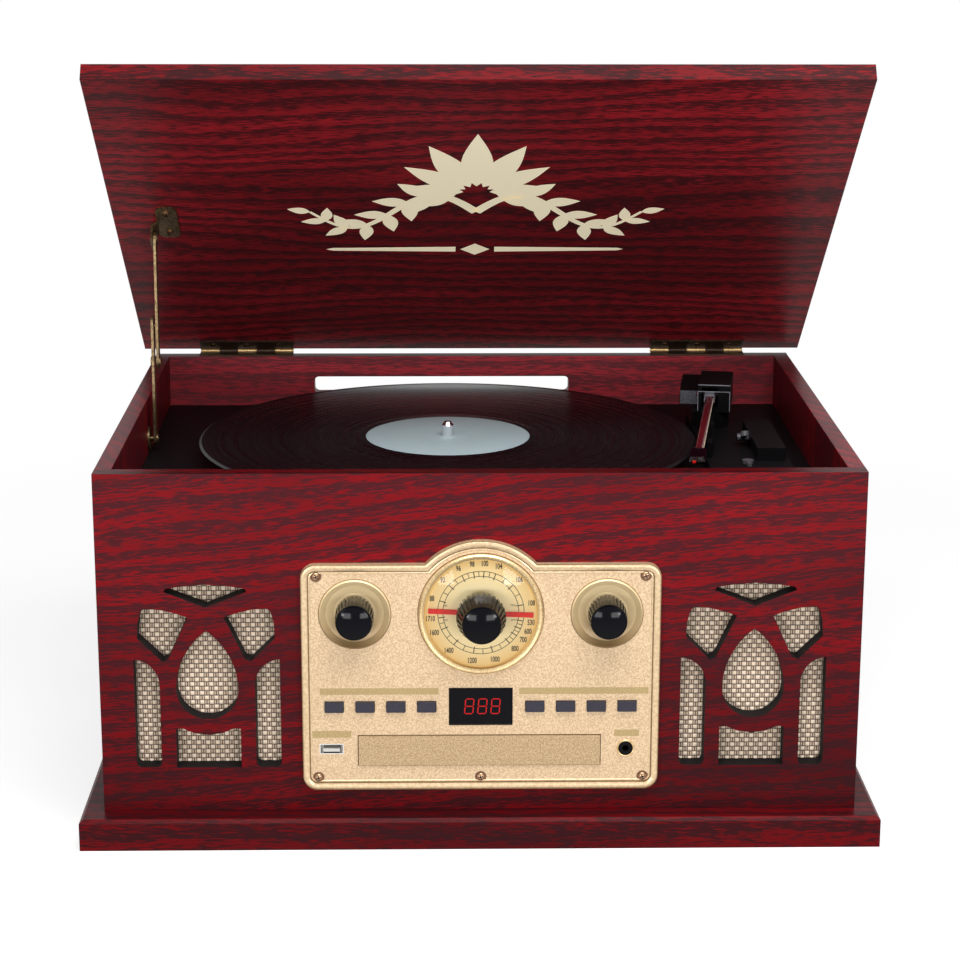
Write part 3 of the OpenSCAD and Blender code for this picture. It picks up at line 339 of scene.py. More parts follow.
def veneer(name, turn, seed, reds=REDS, pore=PORE, ring_mm=11.0, figure=3.5, lean=0.0, painted_shade_at_foot=1.0):
    """Cherry-stained oak, grain along X after the turn; lean tilts its bands, painted_shade_at_foot paints
    shade at its foot.
    """
    wood = Finish(name, roughness=0.36)
    wood.set("Specular IOR Level", 0.06)
    point = wood.place(turn=turn, shift=(seed, seed / 3, seed / 7))
    slow, waver = wood.noise(point, SLOW), wood.noise(point, WAVER, detail=3.0)
    along, across, depth = wood.split(point)
    tilted = wood.sum("MULTIPLY_ADD", along, lean, across)
    drift = wood.sum("MULTIPLY_ADD", slow, 0.03, wood.sum("MULTIPLY", waver, 0.004))
    flowing = wood.add("CombineXYZ", along, wood.sum("ADD", tilted, drift), depth).outputs[0]
    height = wood.sum("MULTIPLY_ADD", depth, 0.6, tilted)
    rings = wood.sum("MULTIPLY_ADD", height, 1000 / ring_mm, wood.sum("MULTIPLY", slow, figure))
    band = wood.ramp(wood.sum("FRACT", wood.sum("MULTIPLY_ADD", waver, 0.8, rings)), *RING)
    pores = wood.noise(flowing, PORES, detail=3.0, rough=0.6)
    dark = wood.ramp(wood.sum("MULTIPLY_ADD", band, 0.17, pores), (0.50, 0.0), (0.62, 1.0))
    tone = wood.noise(point, TONE, detail=3.0)
    red = wood.blend(wood.ramp(tone, (0.38, 0.0), (0.60, 1.0)), *reds)
    fibre = wood.noise(flowing, FIBRE, detail=1.0)
    red = wood.blend(wood.ramp(fibre, (0.4, 0.0), (0.7, 0.3)), red, reds[0])
    stained = wood.blend(wood.sum("MULTIPLY", dark, 0.85), red, pore)
    # Painted shade: the board darkens towards its foot, where the lamp above lights it less
    if painted_shade_at_foot < 1.0:
        up = wood.sum("MULTIPLY_ADD", wood.split(wood.place())[2], PAINTED_SHADE_RISE, PAINTED_SHADE_START)
        stained = wood.blend(1.0, stained, wood.ramp(up, (0.0, painted_shade_at_foot), (1.0, 1.0)), "MULTIPLY")
    wood.set("Base Color", stained)
    wood.bump(wood.sum("SUBTRACT", 1.0, dark), 0.05, 0.3, SOFT_EDGE_MM)
    return wood.material


def tinted(level):
    """The two reds of the stain, made lighter or darker."""
    return tuple(tuple(level * part for part in red) for red in REDS)


print("pores are", round(PORES[1] / PORES[0]), "times as long as they are wide")

# %% [markdown]
# No two sheets of veneer take a stain alike, and each board here has a sheet of its own. The grain runs left
# to right on the front, the back and the lid, and front to back on the sides, so each sheet is turned with
# its board. The turn is the only thing that ties the formula to a board: nothing has to be unwrapped.

# %% Veneered boards
QUARTER = math.pi / 2
LYING, UPRIGHT, SIDEWAYS, OPEN_LID = (0, 0, 0), (QUARTER, 0, 0), (QUARTER, 0, QUARTER), (lid_angle, 0, 0)
LID_FIGURE = {"ring_mm": 14.0, "figure": 8.0}


def dress(finish, *names):
    """Gives CAD nodes one finish."""
    for name in names:
        nodes[name].data.materials.clear()
        nodes[name].data.materials.append(finish)


dress(veneer("front_veneer", UPRIGHT, 0.3, lean=0.09, painted_shade_at_foot=0.55), "front_panel")
dress(veneer("back_veneer", UPRIGHT, 1.7), "back_panel")
dress(veneer("side_veneer", SIDEWAYS, 2.9), "side_panels")
dress(veneer("plinth_veneer", LYING, 4.1, tinted(0.56), (0.022, 0.006, 0.008)), "plinth")
dress(veneer("lid_veneer", OPEN_LID, 5.3, tinted(0.75), (0.014, 0.005, 0.006), **LID_FIGURE), "lid_panel")
print("veneered: front, back, sides, plinth, lid")

# %% [markdown]
# Some faces of a board take a second material. The lid's inner face and the well's rear wall take lighter
# copies of the veneer, which are painted light, and the rim takes a darker copy. The faces keep their places;
# only the number of their material changes.

# %% Faces with a second finish
rim_veneer = veneer("rim_veneer", LYING, 0.9, tinted(0.45), (0.012, 0.004, 0.005))
# Painted light: a much lighter copy of the veneer for the well's rear wall
well_wall_painted_light = veneer("well_wall_painted_light", UPRIGHT, 1.7, ((0.36, 0.04, 0.05), (0.68, 0.06, 0.08)),
                     (0.17, 0.05, 0.06))
# Painted light: a lighter copy of the lid's veneer for its inner face
lid_inner_painted_light = veneer("lid_inner_painted_light", OPEN_LID, 5.3, ((0.19, 0.011, 0.015), (0.38, 0.018, 0.026)),
                          (0.028, 0.010, 0.012), **LID_FIGURE)
# A face looks along a direction when its normal's share of that direction is above this
FACING = 0.9


def dress_faces(name, finish, chosen):
    """Gives some faces of a CAD node a finish of their own."""
    mesh = nodes[name].data
    mesh.materials.append(finish)
    count = 0
    for face in mesh.polygons:
        if chosen(face.normal, face.center):
            face.material_index = len(mesh.materials) - 1
            count += 1
    return count


rim_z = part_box("front_panel")[1].z
print("rim:", dress_faces("front_panel", rim_veneer, lambda n, c: n.z > FACING and c.z > rim_z - MM), "faces")
print("well:", dress_faces("back_panel", well_wall_painted_light, lambda n, c: n.y < -FACING), "faces")
print("lid:", dress_faces("lid_panel", lid_inner_painted_light, lambda n, c: n.dot(lid_out) < -FACING), "faces")

# %% [markdown]
# The fretwork openings for the loudspeakers were cut through the veneered board and their edges painted
# black, so each face of the board that looks sideways and lies well inside its outline takes black paint.

# %% Painted edges of the fretwork
black_paint = Finish("black_edge_paint", (0.006, 0.005, 0.006), 0.6, specular_ior_level=0.1)
grain = black_paint.noise(black_paint.place(), (900, 900, 900), detail=3)
black_paint.set("Base Color", black_paint.blend(grain, (0.003, 0.003, 0.004), (0.012, 0.010, 0.011)))
black_paint.bump(grain, 0.15, 0.5)
board_low, board_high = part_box("front_panel")
EDGE_MARGIN = 3 * MM


def in_an_opening(normal, spot):
    """True for a face of the front board that lines one of its openings."""
    across = abs(spot.x) < board_high.x - EDGE_MARGIN
    return across and board_low.z + EDGE_MARGIN < spot.z < board_high.z - EDGE_MARGIN and abs(normal.y) < 0.5


print("painted faces:", dress_faces("front_panel", black_paint.material, in_an_opening))

# %% [markdown]
# Nearly everything else on the object is one of two kinds of surface: moulded or lacquered, where two close
# colours lie in a fine grain with a little relief, or metal with fine scratches along one direction. Two
# helpers make them, so that a finish is afterwards one line: its two colours, its roughness and the size of
# its grain.

# %% Grained and brushed surfaces


def grained(name, colour, other, roughness, grain_mm=0.6, depth_mm=0.02, metallic=0.0, **sockets):
    """A moulded or lacquered surface: two close colours in a fine grain, with a little relief."""
    finish = Finish(name, colour, roughness, metallic, **sockets)
    size = 1 / (grain_mm * MM)
    grain = finish.noise(finish.place(), (size, size, size), detail=3)
    finish.set("Base Color", finish.blend(finish.ramp(grain, (0.38, 0.0), (0.62, 1.0)), colour, other))
    finish.bump(grain, depth_mm, 0.4)
    return finish.material


def brushed(name, colour, other, roughness, along=(20, 900, 900), metallic=1.0):
    """Metal with fine scratches along one direction."""
    finish = Finish(name, colour, roughness, metallic)
    grain = finish.noise(finish.place(), along, detail=3)
    finish.set("Base Color", finish.blend(grain, colour, other))
    finish.set("Roughness", finish.ramp(grain, (0.3, roughness * 0.7), (0.7, roughness * 1.3)))
    finish.bump(grain, 0.02, 0.3)
    return finish.material


print("two kinds of surface are ready")

# %% [markdown]
# The fascia is lacquered in pale champagne gold and the disc tray's front in a deeper one. Lacquer with
# metal flake is only partly metallic: its colour has to hold from every side, so most of it is ordinary
# paint. The dial's ring is plated and shinier, the hinges are bronze with bright knuckles, and the lid's
# stay is brass that has darkened.

# %% Golds, brass and bronze
LACQUER = {"grain_mm": 0.75, "depth_mm": 0.06, "metallic": 0.2, "specular_ior_level": 0.2}
champagne = grained("champagne_lacquer", (0.56, 0.39, 0.235), (0.80, 0.60, 0.385), 0.45, **LACQUER)
tray_gold = grained("tray_lacquer", (0.38, 0.25, 0.125), (0.62, 0.45, 0.27), 0.45, **LACQUER)
bead_gold = grained("bead_gold", (0.60, 0.43, 0.25), (0.74, 0.55, 0.34), 0.3, 2.0, 0.01, metallic=0.5)
gold = grained("satin_gold", (0.56, 0.38, 0.17), (0.86, 0.66, 0.38), 0.4, 0.6, 0.03, metallic=0.7)
screw_brass = brushed("screw_brass", (0.28, 0.16, 0.09), (0.50, 0.32, 0.20), 0.3, (300, 300, 300))
aged_brass = grained("aged_brass", (0.10, 0.066, 0.030), (0.24, 0.165, 0.082), 0.38, 1.6, 0.03, metallic=0.8)
bronze = grained("dark_bronze", (0.030, 0.015, 0.010), (0.085, 0.045, 0.025), 0.4, 1.2, 0.03, metallic=0.6)
hinge_brass = grained("hinge_brass", (0.45, 0.27, 0.10), (0.78, 0.55, 0.27), 0.3, 1.2, 0.03, metallic=0.9)
KNUCKLE_R = 1.6

dress(champagne, "fascia_plate")
dress(tray_gold, "cd_tray_front")
dress(gold, "dial_bezel")
dress(screw_brass, "fascia_screws", "lid_screws")
dress(bronze, "hinge_body_leaves", "hinge_lid_leaves")
dress(aged_brass, "stay_wall_bracket", "stay_lower_arm", "stay_upper_arm", "stay_lid_bracket")
print("bright knuckles:", dress_faces("hinge_lid_leaves", hinge_brass,
                                      lambda n, c: (c / MM - hinge_pin).yz.length < KNUCKLE_R), "faces")

# %% [markdown]
# The dishes behind the side knobs are shallow and polished, so each one mirrors dark at its foot and bright
# at its top. A mirror would need a whole room round it to show that. A plain gradient from foot to top, a
# painted reflection, gives it in any light.

# %% Gold dishes behind the side knobs, with a painted reflection
# Height in metres times the rise, plus the start, goes from 0 at a dish's foot to 1 at its top
DISH_RISE, DISH_START = 27.0, -3.12
# Painted reflection: the dark colour at a dish's foot and the bright one at its top
DISH_PAINTED_DARK, DISH_PAINTED_BRIGHT = (0.26, 0.16, 0.065), (0.96, 0.74, 0.42)
gold_dish_painted_reflection = Finish("gold_dish_painted_reflection", (0.6, 0.45, 0.25), 0.4, 0.15)
dish_height = gold_dish_painted_reflection.sum("MULTIPLY_ADD", gold_dish_painted_reflection.split(gold_dish_painted_reflection.place())[2], DISH_RISE, DISH_START)
dish_painted_gradient = gold_dish_painted_reflection.ramp(dish_height, (0.0, 0.0), (1.0, 1.0))
gold_dish_painted_reflection.set("Base Color", gold_dish_painted_reflection.blend(dish_painted_gradient, DISH_PAINTED_DARK, DISH_PAINTED_BRIGHT))
dress(gold_dish_painted_reflection.material, "knob_dishes")
print("dish gradient from", DISH_PAINTED_DARK, "to", DISH_PAINTED_BRIGHT)

# %% [markdown]
# The deck and the arm's base are dull black plastic, the knobs and the display gloss black. In white
# surroundings a black piece turns grey unless it mirrors little, so each black has a low specular level, and
# only the knobs' ribs keep a high one, because their sparks are what shows that they are ribbed.

# %% Blacks, greys and reds
black_plastic = grained("black_plastic", (0.003, 0.003, 0.0035), (0.009, 0.008, 0.009), 0.42, 0.5, 0.03,
                        specular_ior_level=0.05)
gloss_black = Finish("gloss_black", (0.001, 0.001, 0.003), 0.09, specular_ior_level=0.11)
rib_black = grained("rib_black", (0.002, 0.0015, 0.002), (0.007, 0.005, 0.005), 0.16, 0.4, 0.01,
                    specular_ior_level=0.45)
slate = grained("slate_plastic", (0.022, 0.020, 0.032), (0.044, 0.040, 0.058), 0.38, 0.4, 0.02,
                specular_ior_level=0.25)
lever_grey = grained("lever_grey", (0.05, 0.05, 0.055), (0.09, 0.09, 0.10), 0.4, 0.4, 0.02)
# Painted reflection: the black tube is given a dark red for the red wood it mirrors
tube_painted_red_reflection = Finish("tube_painted_red_reflection", (0.10, 0.008, 0.012), 0.16, specular_ior_level=0.4)
red_gloss = Finish("red_pointer", (0.74, 0.018, 0.010), 0.4, specular_ior_level=0.1)
KNOBS = ("tuner_knob", "left_knob", "right_knob")
# Faces that look forward less than this are a knob's ribbed side
RIBBED = 0.6

dress(black_plastic, "deck_plate", "tonearm_base", "tonearm_yoke", "cartridge", "cd_tray", "cd_hub",
      "platter", "speaker_frames", "rear_sockets", "headphone_jack")
dress(gloss_black.material, *KNOBS, "display_window", "headshell")
dress(slate, *[f"{side}_button_{i}" for side in ("left", "right") for i in (1, 2, 3, 4)])
dress(lever_grey, "cue_lever", "speed_lever")
dress(tube_painted_red_reflection.material, "tonearm_tube")
dress(red_gloss.material, "dial_pointer")
for knob in KNOBS:
    print(knob, "ribbed faces:", dress_faces(knob, rib_black, lambda n, c: abs(n.y) < RIBBED))

# %% [markdown]
# What lies inside shows only through a slot or with the tray out, but it is finished as the real thing is:
# green circuit boards, bare fibre board, zinc-plated steel, a rubber belt, felt under the record and paper
# cones.

# %% Bare metal, felt, rubber and board
nickel = brushed("nickel", (0.62, 0.60, 0.58), (0.80, 0.78, 0.76), 0.25, (300, 40, 300))
steel = brushed("plain_steel", (0.42, 0.42, 0.43), (0.60, 0.60, 0.61), 0.4)
chrome = Finish("chrome", (0.80, 0.80, 0.82), 0.12, 1.0)
board_green = grained("circuit_board", (0.03, 0.12, 0.05), (0.05, 0.18, 0.08), 0.4, 2.0, 0.05)
bare_board = grained("bare_board", (0.36, 0.23, 0.12), (0.48, 0.33, 0.19), 0.8, 1.0, 0.1)
rubber = grained("belt_rubber", (0.012, 0.012, 0.012), (0.02, 0.02, 0.02), 0.7, 0.3, 0.02)
felt = grained("mat_felt", (0.010, 0.010, 0.012), (0.028, 0.028, 0.032), 0.95, 0.35, 0.15, sheen_weight=0.3)
paper_cone = grained("cone_paper", (0.02, 0.02, 0.02), (0.04, 0.04, 0.04), 0.85, 0.8, 0.1)

dress(nickel, "usb_socket")
dress(steel, "cd_chassis", "turntable_motor", "rotary_controls", "motor_pulley")
dress(chrome.material, "spindle")
dress(board_green, "main_board", "control_board")
dress(bare_board, "bottom_board")
dress(rubber, "drive_belt")
dress(felt, "platter_mat")
dress(paper_cone, "speaker_cones")
print("finishes:", len(bpy.data.materials))

# %% [markdown]
# Pressed vinyl is nearly black and glossy, and its grooves bend every highlight into streaks that run out
# from the middle. Real grooves are far too fine to model, so the shader's anisotropy stretches the highlight
# round the record, and rings of slightly different roughness show where each track ends.

# %% Record
record_low, record_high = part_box("vinyl_record")
record_middle = (record_low + record_high) / 2
# Radians of groove a metre from the middle, and repeats a metre of the rings between tracks
GROOVES, TRACKS = 5200.0, 260.0


def vinyl():
    """Black vinyl with a fine groove, uneven rings of gloss and highlights that run out from the middle."""
    finish = Finish("pressed_vinyl", (0.004, 0.003, 0.004), 0.26, specular_ior_level=0.22)
    point = finish.place(shift=(-record_middle.x, -record_middle.y, 0))
    radius = finish.add("VectorMath", finish.stretch(point, (1, 1, 0)), operation="LENGTH").outputs["Value"]
    groove = finish.sum("SINE", finish.sum("MULTIPLY", radius, GROOVES))
    rings = finish.add("TexNoise", None, radius, TRACKS, 3.0, 0.7, noise_dimensions="1D").outputs[0]
    finish.set("Roughness", finish.ramp(rings, (0.35, 0.24), (0.65, 0.34)))
    finish.bump(finish.sum("MULTIPLY_ADD", groove, 0.5, rings), 0.006, 0.2)
    finish.set("Anisotropic", 0.75)
    finish.set("Tangent", finish.add("Tangent", direction_type="RADIAL", axis="Z").outputs[0])
    return finish.material


dress(vinyl(), "vinyl_record")
print("record radius", round((record_high.x - record_low.x) / 2 / MM, 1), "mm")

# %% [markdown]
# The dial's face is printed cream under a dome of clear plastic, with painted light and shade on it: paler
# in the middle and darker towards the rim. Glass in a renderer is slow and dims what lies behind it. Here the
# dome is a mirror that is almost wholly transparent, and a Fresnel node gives back only as much of the mirror
# as clear plastic shows, which is most at a slanting view.

# %% Dial lens and face
DIAL_Z = 134.0
dial_middle = Vector((0, front_y, DIAL_Z)) * MM
FACE_PAINTED_LIGHT, FACE_PAINTED_SHADE = (1.0, 0.84, 0.48), (0.84, 0.55, 0.19)
# The painted light is brightest up to the first radius and the painted shade deepest from the second, in
# metres
PAINTED_LIGHT_R, PAINTED_SHADE_R = 0.016, 0.034
LENS_IOR = 1.28

dial_face_painted_light = Finish("dial_print", (0.90, 0.72, 0.38), 0.5, specular_ior_level=0.05)
flat = dial_face_painted_light.stretch(dial_face_painted_light.place(shift=-dial_middle), (1, 0, 1))
from_middle = dial_face_painted_light.add("VectorMath", flat, operation="LENGTH").outputs["Value"]
# Painted light and shade: the face is paler in the middle and darker towards the rim
face_light_to_shade = dial_face_painted_light.ramp(from_middle, (PAINTED_LIGHT_R, 0.0), (PAINTED_SHADE_R, 1.0))
dial_face_painted_light.set("Base Color", dial_face_painted_light.blend(face_light_to_shade, FACE_PAINTED_LIGHT, FACE_PAINTED_SHADE))
dress(dial_face_painted_light.material, "dial_face")

clear_dome = Finish("clear_dome", (1, 1, 1), 0.03, 1.0)
clear_dome.set("Alpha", clear_dome.add("Fresnel", LENS_IOR).outputs[0])
dress(clear_dome.material, "dial_lens")
print("dial middle", DIAL_Z, "mm above the floor")

# %% [markdown]
# The small added pieces are all built the same way: a bmesh is filled with faces, becomes an object, takes a
# finish and rides on a body of the CAD model. Two ways of filling it cover nearly everything. A prism is a
# flat outline given a thickness, for print, plates and leaves. A lofted ring joins closed loops of points,
# for beads and domes.

# %% Mesh helpers


def make(name, shape, finish, body="root", smooth_degrees=35):
    """Turns a bmesh into a piece that rides on a CAD body."""
    bmesh.ops.recalc_face_normals(shape, faces=shape.faces)
    mesh = bpy.data.meshes.new(name)
    shape.to_mesh(mesh)
    shape.free()
    mesh.materials.append(finish)
    mesh.polygons.foreach_set("use_smooth", [True] * len(mesh.polygons))
    mesh.set_sharp_from_angle(angle=math.radians(smooth_degrees))
    piece = bpy.data.objects.new(name, mesh)
    bpy.context.scene.collection.objects.link(piece)
    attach(piece, body)
    return piece


def on_front(x, up, depth):
    """A point drawn on the front: across, up, and behind the cabinet's front face, in mm."""
    return at(x, depth, up)


def prism(shape, outline, near, far, place=on_front):
    """A closed prism of a flat outline between two depths."""
    rims = [[shape.verts.new(place(x, y, depth)) for x, y in outline] for depth in (near, far)]
    for rim in rims:
        shape.faces.new(rim)
    for i, vert in enumerate(rims[0]):
        previous = i - 1
        shape.faces.new((rims[0][previous], vert, rims[1][i], rims[1][previous]))


def loft(shape, loops, caps=False):
    """Joins closed loops with the same number of points, in order."""
    rims = [[shape.verts.new(point) for point in loop] for loop in loops]
    for low, high in zip(rims, rims[1:]):
        for i in range(len(low)):
            shape.faces.new((low[i - 1], low[i], high[i], high[i - 1]))
    if caps:
        shape.faces.new(rims[0])
        shape.faces.new(rims[-1])


def circle(x, up, radius, depth, steps=48, place=on_front):
    """A loop of points round a circle drawn on the front."""
    turns = [2 * math.pi * i / steps for i in range(steps)]
    return [place(x + radius * math.cos(t), up + radius * math.sin(t), depth) for t in turns]


def turned(shape, x, up, profile, steps=48, place=on_front, caps=True):
    """A turned piece on the front from pairs of radius and depth."""
    loft(shape, [circle(x, up, radius, depth, steps, place) for radius, depth in profile], caps)


def directions(turn):
    """A unit vector at an angle in radians, and the one to its left."""
    return Vector((math.cos(turn), math.sin(turn))), Vector((-math.sin(turn), math.cos(turn)))


def box_on_front(shape, x0, x1, z0, z1, near, far):
    """A block on the front between two depths."""
    prism(shape, [(x0, z0), (x1, z0), (x1, z1), (x0, z1)], near, far)


print("helpers ready")

# %% [markdown]
# The fascia is stamped metal with a rounded bead round its edge, and the bead's highlights draw its outline
# in the photograph. The outline is five arcs and straight lines: a rectangle with round corners and an arch
# over the dial. One function gives it at any inset, so the bead is a loft through thirteen insets, each at a
# height of its own. Two thin dark lines beside it are painted shade, for the shadow that a stamped edge
# holds.

# %% Bead round the fascia
fascia_low, fascia_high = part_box("fascia_plate")
FASCIA_HALF = fascia_high.x / MM
FASCIA_LOW = fascia_low.z / MM
FASCIA_TOP = FASCIA_LOW + 131.0
ARCH_R = fascia_high.z / MM - DIAL_Z
FACE_Y = -3.0
CORNER_R = 8.0
# Distance in from the edge of the plate and height above its face, in mm
BEAD = ((-0.05, -3.0), (-0.05, 0.5), (0.3, 1.0), (1.0, 1.32), (1.9, 1.38), (2.7, 1.2), (3.3, 0.95),
        (3.62, 0.82), (3.66, 0.03), (4.3, 0.03), (4.6, 0.22), (5.1, 0.22), (5.4, -0.02))
# Distance in from the edge, width and height of the two lines of painted shade
PAINTED_SHADE_LINES = ((0.0, 0.35, 1.1), (3.75, 0.5, 0.3))


def arc(x, y, radius, start, end, steps):
    """Points along an arc, in degrees."""
    turns = [math.radians(start + (end - start) * i / steps) for i in range(steps + 1)]
    return [(x + radius * math.cos(t), y + radius * math.sin(t)) for t in turns]


def fascia_outline(inset):
    """The plate's outline, moved in by inset mm."""
    corner = max(CORNER_R - inset, 0.5)
    inner_x = FASCIA_HALF - inset - corner
    low, high = FASCIA_LOW + inset + corner, FASCIA_TOP - inset - corner
    arch = ARCH_R - inset
    foot = math.degrees(math.asin((FASCIA_TOP - inset - DIAL_Z) / arch))
    return (arc(-inner_x, low, corner, 180, 270, 8) + arc(inner_x, low, corner, 270, 360, 8)
            + arc(inner_x, high, corner, 0, 90, 8) + arc(0, DIAL_Z, arch, foot, 180 - foot, 40)
            + arc(-inner_x, high, corner, 90, 180, 8))


shape = bmesh.new()
loft(shape, [[on_front(x, z, FACE_Y - height) for x, z in fascia_outline(inset)] for inset, height in BEAD])
make("fascia_bead", shape, bead_gold)

# Painted shade: a dark brown-gold for the shadow beside the bead and round the gold rings
painted_shade_gold = grained("painted_shade_gold", (0.16, 0.095, 0.045), (0.30, 0.19, 0.095), 0.5, 0.6, 0.02,
                     specular_ior_level=0.2)
shape = bmesh.new()
for inset, width, height in PAINTED_SHADE_LINES:
    loft(shape, [[on_front(x, z, FACE_Y - up) for x, z in fascia_outline(inset + across)]
                 for across, up in ((0.0, 0.05), (0.0, height), (width, height), (width, 0.05))])
make("fascia_painted_shade_lines", shape, painted_shade_gold)
print("fascia", round(2 * FASCIA_HALF, 1), "mm wide, arch radius", round(ARCH_R, 1), "mm")

# %% [markdown]
# The dial's face carries two thin rings, short ticks between them and two rows of plain numbers. Blender's
# own letters are turned into meshes a few hundredths of a millimetre thick, narrowed to the condensed look
# of printed dials, and joined into one piece. The angles are those of the real scale, measured from the
# right.

# %% Dial print
dial_y = (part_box("dial_face")[0].y / MM) - front_y
UPPER_SCALE = {"88": 163, "92": 138, "96": 116, "98": 100, "100": 86, "104": 70, "106": 42, "108": 11}
LOWER_SCALE = {"530": -12, "600": -23, "700": -34, "800": -48, "1000": -74, "1200": -100, "1400": -129,
               "1600": -156, "1710": -173}
# Words on the dial and their places, across and up from its middle
DIAL_WORDS = (("FM", -19.5, 4.0), ("AM", -19.5, -4.2), ("MHz", 17.8, 4.2), ("kHz", 17.8, -4.2))
NUMBER_R, NUMBER_SIZE, NUMBER_NARROW, NUMBER_BOLDER = 28.2, 4.3, 0.62, 0.11
WORD_SIZE, WORD_NARROW = 1.8, 0.9
RINGS = (20.9, 23.8)
RING_HALF = 0.17
PRINT = 0.03


def words(shape, text, x, up, size, narrow, depth, bolder=0.0):
    """Adds a line of Blender's own lettering, centred at a place on the front; bolder is in mm."""
    curve = bpy.data.curves.new("lettering", "FONT")
    curve.body = text
    curve.size = size * MM
    curve.offset = bolder * MM
    curve.align_x = "CENTER"
    curve.align_y = "CENTER"
    curve.extrude = PRINT * MM
    curve.resolution_u = 3
    holder = bpy.data.objects.new("lettering", curve)
    mesh = bpy.data.meshes.new_from_object(holder)
    stand = Matrix.Translation(on_front(x, up, depth)) @ Matrix.Rotation(QUARTER, 4, "X")
    mesh.transform(stand @ Matrix.Diagonal((narrow, 1, 1, 1)))
    shape.from_mesh(mesh)
    bpy.data.objects.remove(holder)
    bpy.data.meshes.remove(mesh)


def print_and_shade_ring(shape, x, up, inner, outer, depth, steps=96):
    """A flat ring with the thickness of a coat of ink, for print on the dial and for painted shade on the
    fascia.
    """
    turned(shape, x, up, ((inner, depth), (outer, depth), (outer, depth - PRINT), (inner, depth - PRINT),
                          (inner, depth)), steps, caps=False)


def tick(shape, angle, inner, outer, width):
    """A short printed line that points to the dial's middle."""
    along, side = directions(math.radians(angle))
    places = ((inner, -1), (outer, -1), (outer, 1), (inner, 1))
    corners = [r * along + s * side * width / 2 for r, s in places]
    prism(shape, [(p.x, DIAL_Z + p.y) for p in corners], dial_y, dial_y - PRINT)


shape = bmesh.new()
for radius in RINGS:
    print_and_shade_ring(shape, 0, DIAL_Z, radius - RING_HALF, radius + RING_HALF, dial_y)
for scale in (UPPER_SCALE, LOWER_SCALE):
    for text, angle in scale.items():
        turn = math.radians(angle)
        words(shape, text, NUMBER_R * math.cos(turn), DIAL_Z + NUMBER_R * math.sin(turn), NUMBER_SIZE,
              NUMBER_NARROW, dial_y, NUMBER_BOLDER)
        tick(shape, angle, RINGS[0] - 1.0, RINGS[1], 0.5)
    angles = sorted(scale.values())
    for low, high in zip(angles, angles[1:]):
        tick(shape, (low + high) / 2, RINGS[0], RINGS[1], 0.35)
for text, x, up in DIAL_WORDS:
    words(shape, text, x, DIAL_Z + up, WORD_SIZE, WORD_NARROW, dial_y)
ink = Finish("dial_ink", (0.015, 0.009, 0.005), 0.6, specular_ior_level=0.1)
make("dial_print", shape, ink.material)
print("numbers printed:", len(UPPER_SCALE) + len(LOWER_SCALE))

# %% [markdown]
# Where a gold ring or dish meets the fascia there is a fine dark line of painted shade, for the shadow in the
# groove between them, which keeps gold from running into gold. It is a flat ring on the fascia, and at the
# dishes also a thin turned lip.

# %% Painted shade round the gold rings
KNOB_X = 69.4
BEZEL_PAINTED_SHADE, DISH_PAINTED_SHADE_LINE = (34.45, 34.95), (19.75, 20.15)
# Radius and depth of the lip of a dish, dark with painted shade
DISH_LIP = ((18.15, -2.0), (18.15, -3.55), (18.6, -3.9), (18.75, -3.6))
# Painted shade: thin dark rings round the bezel and the dishes
shape = bmesh.new()
print_and_shade_ring(shape, 0, DIAL_Z, *BEZEL_PAINTED_SHADE, FACE_Y)
for x in (-KNOB_X, KNOB_X):
    print_and_shade_ring(shape, x, DIAL_Z, *DISH_PAINTED_SHADE_LINE, FACE_Y)
    turned(shape, x, DIAL_Z, DISH_LIP, 96, caps=False)
make("gold_ring_painted_shade", shape, painted_shade_gold)
print("ring lines at x = 0 and", KNOB_X, "mm to each side")

# %% [markdown]
# The display shows digits made of seven lit bars in a black window. Each bar is a prism with pointed ends,
# the upright ones turned a quarter, and the whole digit leans a little, as such digits do. A weak red
# emission makes the bars glow without lighting the fascia. A thin black frame closes the gap round the
# window.

# %% Display digits
window_y = (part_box("display_window")[0].y / MM) - front_y
DISPLAY_Z = 80.1
DIGIT_X = (-6.4, 0.9, 8.2)
DIGIT_H, DIGIT_W, SEGMENT = 8.6, 4.6, 0.62
# Free space at the ends of a lying and of an upright bar
LYING_GAP, UPRIGHT_GAP = 0.5, 0.4
DIGIT_T = 0.06
SLANT = 0.08


def segment(shape, x, up, length, upright):
    """One bar of a seven-bar digit, with pointed ends."""
    half, thick = length / 2, SEGMENT / 2
    bar = [(-half, 0), (-half + thick, -thick), (half - thick, -thick), (half, 0), (half - thick, thick),
           (-half + thick, thick)]
    if upright:
        bar = [(-b, a) for a, b in bar]
    outline = [(x + a + SLANT * (up + b), DISPLAY_Z + up + b) for a, b in bar]
    prism(shape, outline, window_y, window_y - DIGIT_T)


def digit(shape, x):
    """All seven bars of one digit."""
    reach = DIGIT_H / 2
    for up in (-reach, 0, reach):
        segment(shape, x, up, DIGIT_W - LYING_GAP, False)
    for side in (-1, 1):
        for up in (-reach / 2, reach / 2):
            segment(shape, x + side * DIGIT_W / 2, up, reach - UPRIGHT_GAP, True)


shape = bmesh.new()
for x in DIGIT_X:
    digit(shape, x)
lit = Finish("lit_digits", (0.25, 0.008, 0.008), 0.4, specular_ior_level=0.1)
lit.set("Emission Color", (0.62, 0.012, 0.012, 1.0))
lit.set("Emission Strength", 0.6)
make("display_digits", shape, lit.material)

